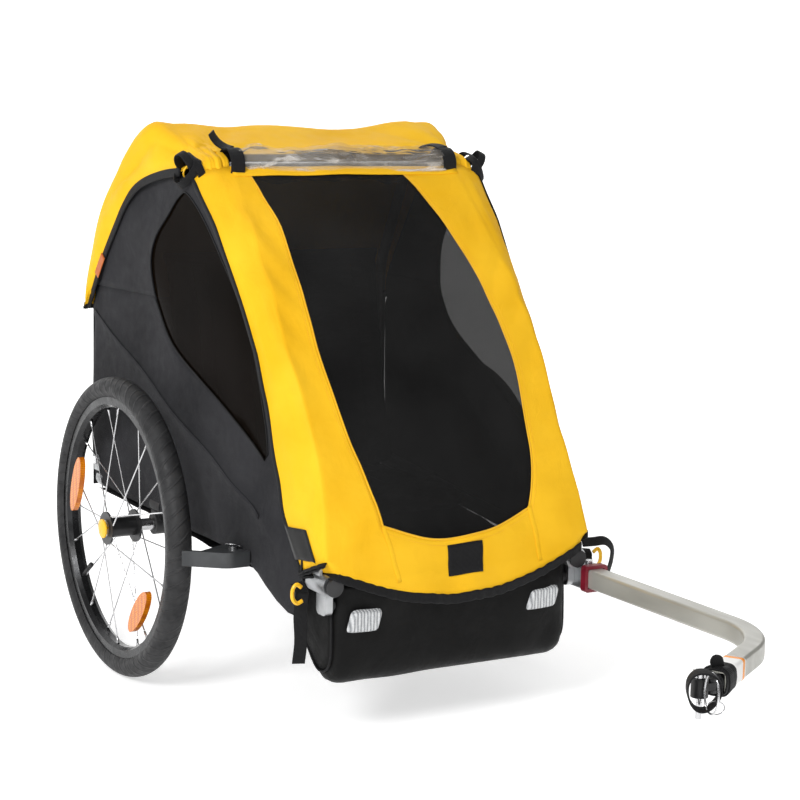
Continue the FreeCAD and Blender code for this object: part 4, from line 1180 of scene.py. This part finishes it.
def window_roll():
    """The clear weather window, rolled up in front of the crossbar."""
    rows = []
    for i in range(121):
        u = mix(-1, 1, i / 120)
        middle_point = at(u * ROLL_HALF, ROLL_Y + 0.003 * math.sin(u * 5),
                          ROLL_Z - 0.002 * u + 0.002 * math.cos(u * 7))
        row = []
        for k in range(57):
            angle = 2 * math.pi * k / 56 * 1.9
            shrink = 1 - 0.30 * k / 56
            size = roll_shape(u, angle) * shrink
            row.append(middle_point + Vector((0.0015 * math.sin(9 * angle),
                                              ROLL_DEEP * size * math.cos(angle),
                                              ROLL_TALL * size * math.sin(angle))))
        rows.append(row)
    roll = sheet_piece("rolled_window", rows, "front_hoop", CLEAR, 0.0006)
    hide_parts("window_roll")
    for side, name in SIDES:
        x = 0.195 * side
        ring = []
        for angle in turns(36):
            ring.append(at(x, -0.120 + 0.0250 * math.cos(angle), 0.8365 + 0.0275 * math.sin(angle)))
        band = bind(f"roll_band_{name}", ring, 0.025, 0.0024, "front_hoop", Vector((0, -1, 0)), WEBBING,
                    closed=True)
        if side < 0:
            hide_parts("roll_straps")
        tail = [at(x - 0.004, -0.122, 0.8640), at(x - 0.010, -0.112, 0.8665), at(x - 0.018, -0.106, 0.873),
                at(x - 0.025, -0.104, 0.882), at(x - 0.028, -0.104, 0.888)]
        if side > 0:
            tail = [at(x, -0.120, 0.865), at(x - 0.004, -0.104, 0.868), at(x - 0.010, -0.088, 0.868),
                    at(x - 0.014, -0.078, 0.864)]
        tail = strap_piece(f"roll_tail_{name}", tail, 0.022, 0.0024, Vector((0, -0.5, 1)), "front_hoop",
                           WEBBING)
        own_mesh(tail)


# Loops outside the crossbar's ends: radius, distance outwards and tilt
LOOPS = ((0.028, 0.0, 0.5), (0.023, 0.012, -0.7), (0.025, 0.004, 1.1))


def crossbar_ends():
    """Gathered fabric sleeves over the crossbar's ends, with webbing loops outside them."""
    for side, name in SIDES:
        rows = []
        for i in range(25):
            u = i / 24
            x = side * mix(0.203, 0.247, u)
            gather = 1 + 0.10 * math.sin(u * 19) + 0.05 * math.sin(u * 43)
            path = [Vector((0, -0.040, 0.8700)), Vector((0, -0.075, 0.8620)), Vector((0, -0.102, 0.8560)),
                    Vector((0, -0.124, 0.8470)), Vector((0, -0.131, 0.8290)), Vector((0, -0.134, 0.8120)),
                    Vector((0, -0.143, 0.7980))]
            row = []
            for k, p in enumerate(smooth_line(path, 26)):
                away = Vector((0, p.y + 0.102, p.z - 0.833))
                lift = (gather - 1) * 0.020 * math.sin(math.pi * min(1, k / 25 + 0.1))
                fold = rough((x * 2, p.y, p.z), 0.004, 30.0)
                droop = -0.010 * max(0, u - 0.6) / 0.4
                row.append(at(x, p.y, p.z + droop) + away.normalized() * (lift + fold))
            rows.append(row)
        sleeve = sheet_piece(f"crossbar_sleeve_{name}", rows, "front_hoop", YELLOW, 0.0013)
        soft = []
        x = 0.252 * side
        for n, (grow, shift, tilt) in enumerate(LOOPS):
            loop = []
            for angle in turns(20):
                wobble = 1 + 0.16 * math.sin(2 * angle + 2 * n) + 0.09 * math.sin(3 * angle + n)
                loop.append(at(x + side * (shift + tilt * 0.02 * math.sin(angle)),
                               -0.103 + grow * wobble * math.cos(angle),
                               0.832 + grow * wobble * math.sin(angle)))
            loop = [p + Vector((0, 0, -0.006)) for p in loop]
            soft.append(bind(f"end_loop_{name}_{n}", catmull(loop, 3, True), 0.014, 0.002, "front_hoop",
                             Vector((0, 1, 0)), WEBBING, closed=True))
        tail = [at(x, -0.100, 0.812), at(x + side * 0.010, -0.085, 0.808),
                at(x + side * 0.012, -0.065, 0.815), at(x + side * 0.008, -0.045, 0.822)]
        soft.append(strap_piece(f"end_tail_{name}", tail, 0.014, 0.002, Vector((side, 0, 0.3)), "front_hoop",
                                WEBBING))
        for strap in soft:
            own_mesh(strap)
        cord = [at(x + side * 0.004, -0.118, 0.842), at(x + side * 0.014, -0.106, 0.834),
                at(x + side * 0.015, -0.098, 0.822), at(x + side * 0.006, -0.094, 0.814)]
        pipe_piece(f"end_cord_{name}", cord, 0.0016, "front_hoop", YELLOW_PLASTIC, 16)


# ------------------------------------------------------------------ lower corner straps and hooks

def hook_piece(name, origin, side):
    """A flat wire hook, bent like an S."""
    path = [(0.000, 0.000), (0.008, 0.005), (0.014, -0.002), (0.014, -0.015), (0.007, -0.023),
            (-0.002, -0.020)]
    line = smooth_line([origin + Vector((side * x, -0.002, z)) for x, z in path], 26)
    return bind(name, line, 0.0064, 0.0042, "base", Vector((0, 1, 0)), YELLOW_PLASTIC)


def corner_straps():
    """Webbing at the lower front corners, with the cover's hooks and loose tails."""
    for side, name in SIDES:
        x = 0.254 * side
        strap = [at(x + side * 0.004, -0.474, 0.250), at(x + side * 0.003, -0.481, 0.245),
                 at(x, -0.485, 0.240), at(x, -0.486, 0.234)]
        strap_piece(f"corner_strap_{name}", strap, 0.020, 0.002, Vector((0, -1, 0)), "base", WEBBING)
        hook_piece(f"cover_hook_{name}", at(x + side * 0.006, -0.492, 0.248), side)
        tail = [at(x, -0.486, 0.238), at(x + side * 0.002, -0.484, 0.205),
                at(x - side * 0.001, -0.482, 0.165), at(x + side * 0.002, -0.481, 0.130)]
        up = Vector((0, -1, 0))
        if side > 0:
            tail = [at(x - 0.010, -0.486, 0.264), at(x + 0.014, -0.482, 0.262), at(x + 0.040, -0.478, 0.260),
                    at(x + 0.056, -0.476, 0.246), at(x + 0.052, -0.480, 0.226), at(x + 0.042, -0.484, 0.208)]
            up = Vector((0.5, 0.8, -0.4))
        strap_piece(f"corner_tail_{name}", tail, 0.022 if side < 0 else 0.015, 0.002, up, "base", WEBBING)


# ------------------------------------------------------------------ wheels

def tyres():
    """Tyres with a flat tread, a groove each side of the middle and ribs on the walls, and a valve each."""
    for name in ("left", "right"):
        centre = middle(f"tyre_{name}")
        low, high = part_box(f"tyre_{name}")
        outer = (high.z - low.z) / 2
        half = (high.x - low.x) / 2
        segments, across = 240, 40
        rows = []
        for k in range(segments):
            turn = 2 * math.pi * k / segments
            row = []
            for j in range(across):
                s = mix(-1, 1, j / (across - 1))
                angle = s * math.radians(138)
                x = half * math.sin(angle) * (0.985 if abs(s) < 0.5 else 1)
                depth = 0.0185 * (1 - math.cos(angle)) if abs(angle) < math.pi / 2 else \
                    0.0185 + 0.0175 * -math.cos(angle)
                tread = -0.0009 if abs(abs(s) - 0.045) < 0.018 else 0.0
                rib = 0.0006 if 0.60 < abs(s) < 0.63 or 0.80 < abs(s) < 0.84 else 0.0
                radius = outer - depth + tread
                row.append(centre + Vector((x * (1 + rib * 30), math.cos(turn) * radius,
                                            math.sin(turn) * radius)))
            rows.append(row)
        points = [p for row in rows + rows[:1] for p in row]
        uvs = [(k * outer * 2 * math.pi / segments, 0.0016 * j)
               for k in range(segments + 1) for j in range(across)]
        piece = mesh_piece(f"tyre_rubber_{name}", points, grid_faces(segments + 1, across), f"{name}_wheel",
                           RUBBER, uvs)
        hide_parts(f"tyre_{name}")
        valve = [(0.0, 0.0), (0.0032, 0.0), (0.0032, 0.020), (0.0026, 0.021), (0.0026, 0.034),
                 (0.0042, 0.034), (0.0042, 0.044), (0.0030, 0.046), (0.0, 0.046)]
        angle = math.radians(-36)
        outward = Vector((0, math.cos(angle), math.sin(angle)))
        lathe_piece(f"valve_{name}", centre + outward * 0.197, -outward, valve, f"{name}_wheel",
                    BLACK_PLASTIC, 20)


def guard_rings():
    """A split wire ring through the head of each wheel guard's pin."""
    for side, name in SIDES:
        ring = []
        for angle in turns(20):
            ring.append(at(side * (0.262 + 0.012 * math.cos(angle)), -0.276 + 0.011 * math.sin(angle),
                           0.2655 + 0.004 * math.cos(angle + 0.8)))
        pipe_piece(f"guard_ring_{name}", ring, 0.0009, "base", STEEL, closed=True, sides=8)


# A spoke nipple's outline, and the radii of the rim's and the hub's spoke holes
NIPPLE = [(0.0, 0.0), (0.0024, 0.0), (0.0024, 0.004), (0.0019, 0.005), (0.0019, 0.012), (0.0, 0.012)]
NIPPLE_R, HUB_HOLES_R = 0.1958, 0.0284


def nipples():
    """Spoke nipples at the rim, pointing down their spokes."""
    for side, name in SIDES:
        centre = middle(f"hub_{name}")
        pieces = []
        for flange in (-1, 1):
            for n in range(10):
                lean = math.radians(34 if n % 2 else -34)
                at_rim = math.radians(n * 36 + (18 if flange * side > 0 else 0))
                at_hub = at_rim + lean
                rim_point = centre + Vector((flange * 0.004, math.cos(at_rim) * NIPPLE_R,
                                             math.sin(at_rim) * NIPPLE_R))
                hub_point = centre + Vector((flange * 0.0245, math.cos(at_hub) * HUB_HOLES_R,
                                             math.sin(at_hub) * HUB_HOLES_R))
                run = (hub_point - rim_point).normalized()
                pieces.append(lathe_piece(f"nipple_{name}_{flange}_{n}", rim_point, run, NIPPLE,
                                          f"{name}_wheel", STEEL, 10))
        join(f"spoke_nipples_{name}", pieces)


# ------------------------------------------------------------------ tow bar, hitch

BAR_END = Vector((0.048, AXLE_Y - 1.058, 0.216))
BAR_BEND = Vector((0.240, AXLE_Y - 0.935, 0.216))
# Turns of webbing round the bar's end: distance from the end, size and lean
WRAPS = ((0.004, 0.0195, 0.10), (0.014, 0.0215, -0.16), (0.026, 0.0205, 0.05))


def hitch():
    """Webbing looped round the coupling and wound on the bar's end, with the pin's wire rings."""
    low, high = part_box("hitch_block")
    pin = middle("hitch_pin")
    body = Vector((pin.x, pin.y, (low.z + high.z) / 2))
    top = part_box("hitch_pin")[1].z
    across, rise = Vector((0.858, -0.514, 0)), Vector((0.10, 0.16, 0.98))
    near = Vector((-0.507, -0.847, 0.156))
    loop = []
    for angle in turns(16):
        reach = 0.0215 * (1 + 0.05 * math.sin(3 * angle + 0.6))
        loop.append(body + near * 0.022 + across * (reach * math.cos(angle) + 0.002)
                    + rise * (reach * 1.18 * math.sin(angle) - 0.001) + near * (0.007 * math.sin(angle)))
    strap = strap_piece("hitch_webbing", loop, 0.020, 0.0024, across, "hitch", WEBBING, closed=True)
    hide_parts("hitch_strap")
    end = BAR_END
    back = Vector((0.84203, 0.53943, 0))
    side = back.cross(Vector((0, 0, 1)))
    for n, (along, grow, lean) in enumerate(WRAPS):
        wrap = []
        for angle in turns(20):
            square = 1 / max(abs(math.cos(angle)), abs(math.sin(angle))) ** 0.55
            wrap.append(end + back * (along + lean * 0.02 * math.sin(angle + n))
                        + side * (grow * square * math.cos(angle) * 0.86)
                        + Vector((0, 0, grow * square * math.sin(angle) * 0.86)))
        strap_piece(f"bar_end_wrap_{n}", wrap, 0.017, 0.0024, side, "base", WEBBING, closed=True)
    tip = [end + back * 0.010 + Vector((0, 0, 0.018)), end + back * 0.003 + Vector((0, 0, 0.027)),
           end - back * 0.004 + Vector((0, 0, 0.034)), end - back * 0.010 + Vector((0, 0, 0.0385))]
    line = smooth_line(tip, 14)
    sweep_piece("bar_end_tip", line, strap_profile(0.018, 0.0030), "base", WEBBING, near,
                sizes=[1.0] * 8 + [0.95, 0.86, 0.74, 0.60, 0.44, 0.26])
    ring = []
    for angle in turns(28):
        ring.append(Vector((pin.x, pin.y, top - 0.024)) + near * 0.026
                    + across * (0.012 + 0.0075 * math.cos(angle)) + rise * (0.0265 * math.sin(angle))
                    + near * (0.010 * math.cos(angle)))
    pipe_piece("hitch_pin_ring", ring, 0.0015, "hitch_pin_body", STEEL, closed=True, sides=8)
    ring = []
    for angle in turns(24):
        ring.append(body + near * 0.020 + across * (0.018 + 0.0115 * math.cos(angle))
                    + rise * (-0.0235 + 0.0085 * math.sin(angle)))
    pipe_piece("hitch_ring_small", ring, 0.0009, "hitch", STEEL, closed=True, sides=8)
    eye = []
    for angle in turns(16):
        eye.append(Vector((pin.x, pin.y, top + 0.001)) + across * (0.0075 * math.cos(angle))
                   + near * (0.0075 * math.sin(angle)) + rise * 0.002)
    pipe_piece("hitch_pin_eye", eye, 0.0018, "hitch_pin_body", STEEL, closed=True, sides=8)


def label_band():
    """A plain band round the tow bar's end, with one coloured stripe and no lettering."""
    back = (BAR_BEND - BAR_END).normalized()
    half = 0.0154
    radius = 0.005
    profile = []
    for cx, cy, start in ((half - radius, half - radius, 0), (-half + radius, half - radius, 90),
                          (-half + radius, -half + radius, 180), (half - radius, -half + radius, 270)):
        for k in range(5):
            angle = math.radians(start + k * 22.5)
            profile.append((cx + radius * math.cos(angle), cy + radius * math.sin(angle)))
    for name, start, finish, grow, material, slot in (
            ("label_band", 0.036, 0.082, 1.0, LABEL, "white_lens"),
            ("label_stripe", 0.070, 0.078, 1.012, ORANGE_FILM, "orange_lens")):
        line = [BAR_END + back * mix(start, finish, k / 4) for k in range(5)]
        sweep_piece(name, line, [(a * grow, b * grow) for a, b in profile], "base", material)


# ------------------------------------------------------------------ seat

CLOTH_STEPS = 20


def puffed(piece, cap, pressure=4.0, voxel=0.006):
    """Swell a pad with a short cloth simulation, and keep each point within cap of where it began."""
    modify(piece, "REMESH", mode="VOXEL", voxel_size=voxel, use_smooth_shade=True)
    apply_all(piece)
    rest = [v.co.copy() for v in piece.data.vertices]
    cloth = piece.modifiers.new("cloth", "CLOTH")
    cloth.settings.use_pressure = True
    cloth.settings.uniform_pressure_force = pressure
    cloth.settings.effector_weights.gravity = 0
    cloth.settings.quality = 5
    scene = bpy.context.scene
    for step in range(1, CLOTH_STEPS + 1):
        scene.frame_set(step)
    apply_all(piece)
    for v, before in zip(piece.data.vertices, rest):
        move = v.co - before
        if move.length > cap:
            v.co = before + move.normalized() * cap
    scene.frame_set(1)
    return piece


def pad(name, low, high, lean, cap, material):
    """A rounded block between two corners, sheared back by lean, then puffed."""
    count = (26, 14, 8)
    size = high - low
    points, faces = [], []
    index = {}
    for i in range(count[0] + 1):
        for j in range(count[1] + 1):
            for k in range(count[2] + 1):
                if 0 < i < count[0] and 0 < j < count[1] and 0 < k < count[2]:
                    continue
                u = Vector((i / count[0], j / count[1], k / count[2]))
                index[i, j, k] = len(points)
                points.append(Vector((low.x + size.x * u.x, low.y + size.y * u.y + lean * u.z,
                                      low.z + size.z * u.z)))
    for axis in range(3):
        a, b = [n for n in range(3) if n != axis]
        for end in (0, count[axis]):
            for i in range(count[a]):
                for j in range(count[b]):
                    quad = []
                    for da, db in ((0, 0), (1, 0), (1, 1), (0, 1)):
                        key = [0, 0, 0]
                        key[axis], key[a], key[b] = end, i + da, j + db
                        quad.append(index[tuple(key)])
                    faces.append(tuple(quad) if (end == 0) == (axis == 1) else tuple(reversed(quad)))
    piece = mesh_piece(name, points, faces, None, material)
    puffed(piece, cap)
    piece.data.shade_smooth()
    return piece


# The middle of each place, how far the floor pads stop short of the CAD cushion's ends, and how far a pad
# may swell
SEAT_X, PAD_INSET, PUFF = 0.106, 0.007, 0.008


def seat():
    """A floor pad and a backrest pad for each of the two places."""
    low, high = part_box("seat_cushion")
    for side, name in SIDES:
        left, right = (-0.209, -0.003) if side < 0 else (0.003, 0.209)
        cushion = pad(f"seat_pad_{name}", Vector((left, low.y + PAD_INSET, 0.272)),
                      Vector((right, high.y - PAD_INSET, 0.295)), 0.0, PUFF, LINING)
        modify(cushion, "SUBSURF", levels=1, render_levels=1)
        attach(cushion, "base")
        back = pad(f"backrest_pad_{name}", Vector((left, AXLE_Y + 0.032, 0.300)),
                   Vector((right, AXLE_Y + 0.044, 0.688)), 0.074, PUFF, LINING)
        modify(back, "SUBSURF", levels=1, render_levels=1)
        apply_all(back)
        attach(back, "base")
        if side < 0:
            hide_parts("seat_cushion")
            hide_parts("seat_back")
        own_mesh(back)


def harness():
    """Two shoulder straps, a crotch strap and a buckle for each of the two places."""
    for seat_x, name in ((-SEAT_X, "left"), (SEAT_X, "right")):
        for side in (-1, 1):
            x = seat_x + side * 0.045
            end = "inner" if side * seat_x < 0 else "outer"
            points = [at(x, 0.092, 0.66), at(x, 0.068, 0.60), at(x, 0.040, 0.48), at(x, 0.014, 0.36),
                      at(x - side * 0.01, -0.006, 0.315)]
            strap = strap_piece(f"shoulder_strap_{name}_{end}", points, 0.025, 0.002, Vector((0, -1, 0.2)),
                                "base", WEBBING, count=30)
            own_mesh(strap)
            if (name, end) == ("left", "outer"):
                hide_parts("harness")
        crotch = [at(seat_x, -0.130, 0.3065), at(seat_x, -0.085, 0.3085), at(seat_x, -0.040, 0.3105),
                  at(seat_x, -0.004, 0.320)]
        strap_piece(f"crotch_strap_{name}", crotch, 0.025, 0.002, UP, "base", WEBBING)
        line = [at(seat_x, -0.050 + 0.044 * k / 4, 0.314 + 0.003 * k / 4) for k in range(5)]
        buckle = bind(f"buckle_{name}", line, 0.040, 0.012, "base", UP, BLACK_PLASTIC)
        modify(buckle, "BEVEL", width=0.002, segments=2)


# ------------------------------------------------------------------ build

dress_cad_nodes()
add_camera()
add_floor()
add_light()
cover_rows, cover_count = front_cover()
cover_details(cover_rows, cover_count)
hood()
side_panels()
back_panel()
floor_skirts()
nose()
nose_reflectors()
window_roll()
crossbar_ends()
corner_straps()
tyres()
nipples()
guard_rings()
hitch()
label_band()
seat()
harness()
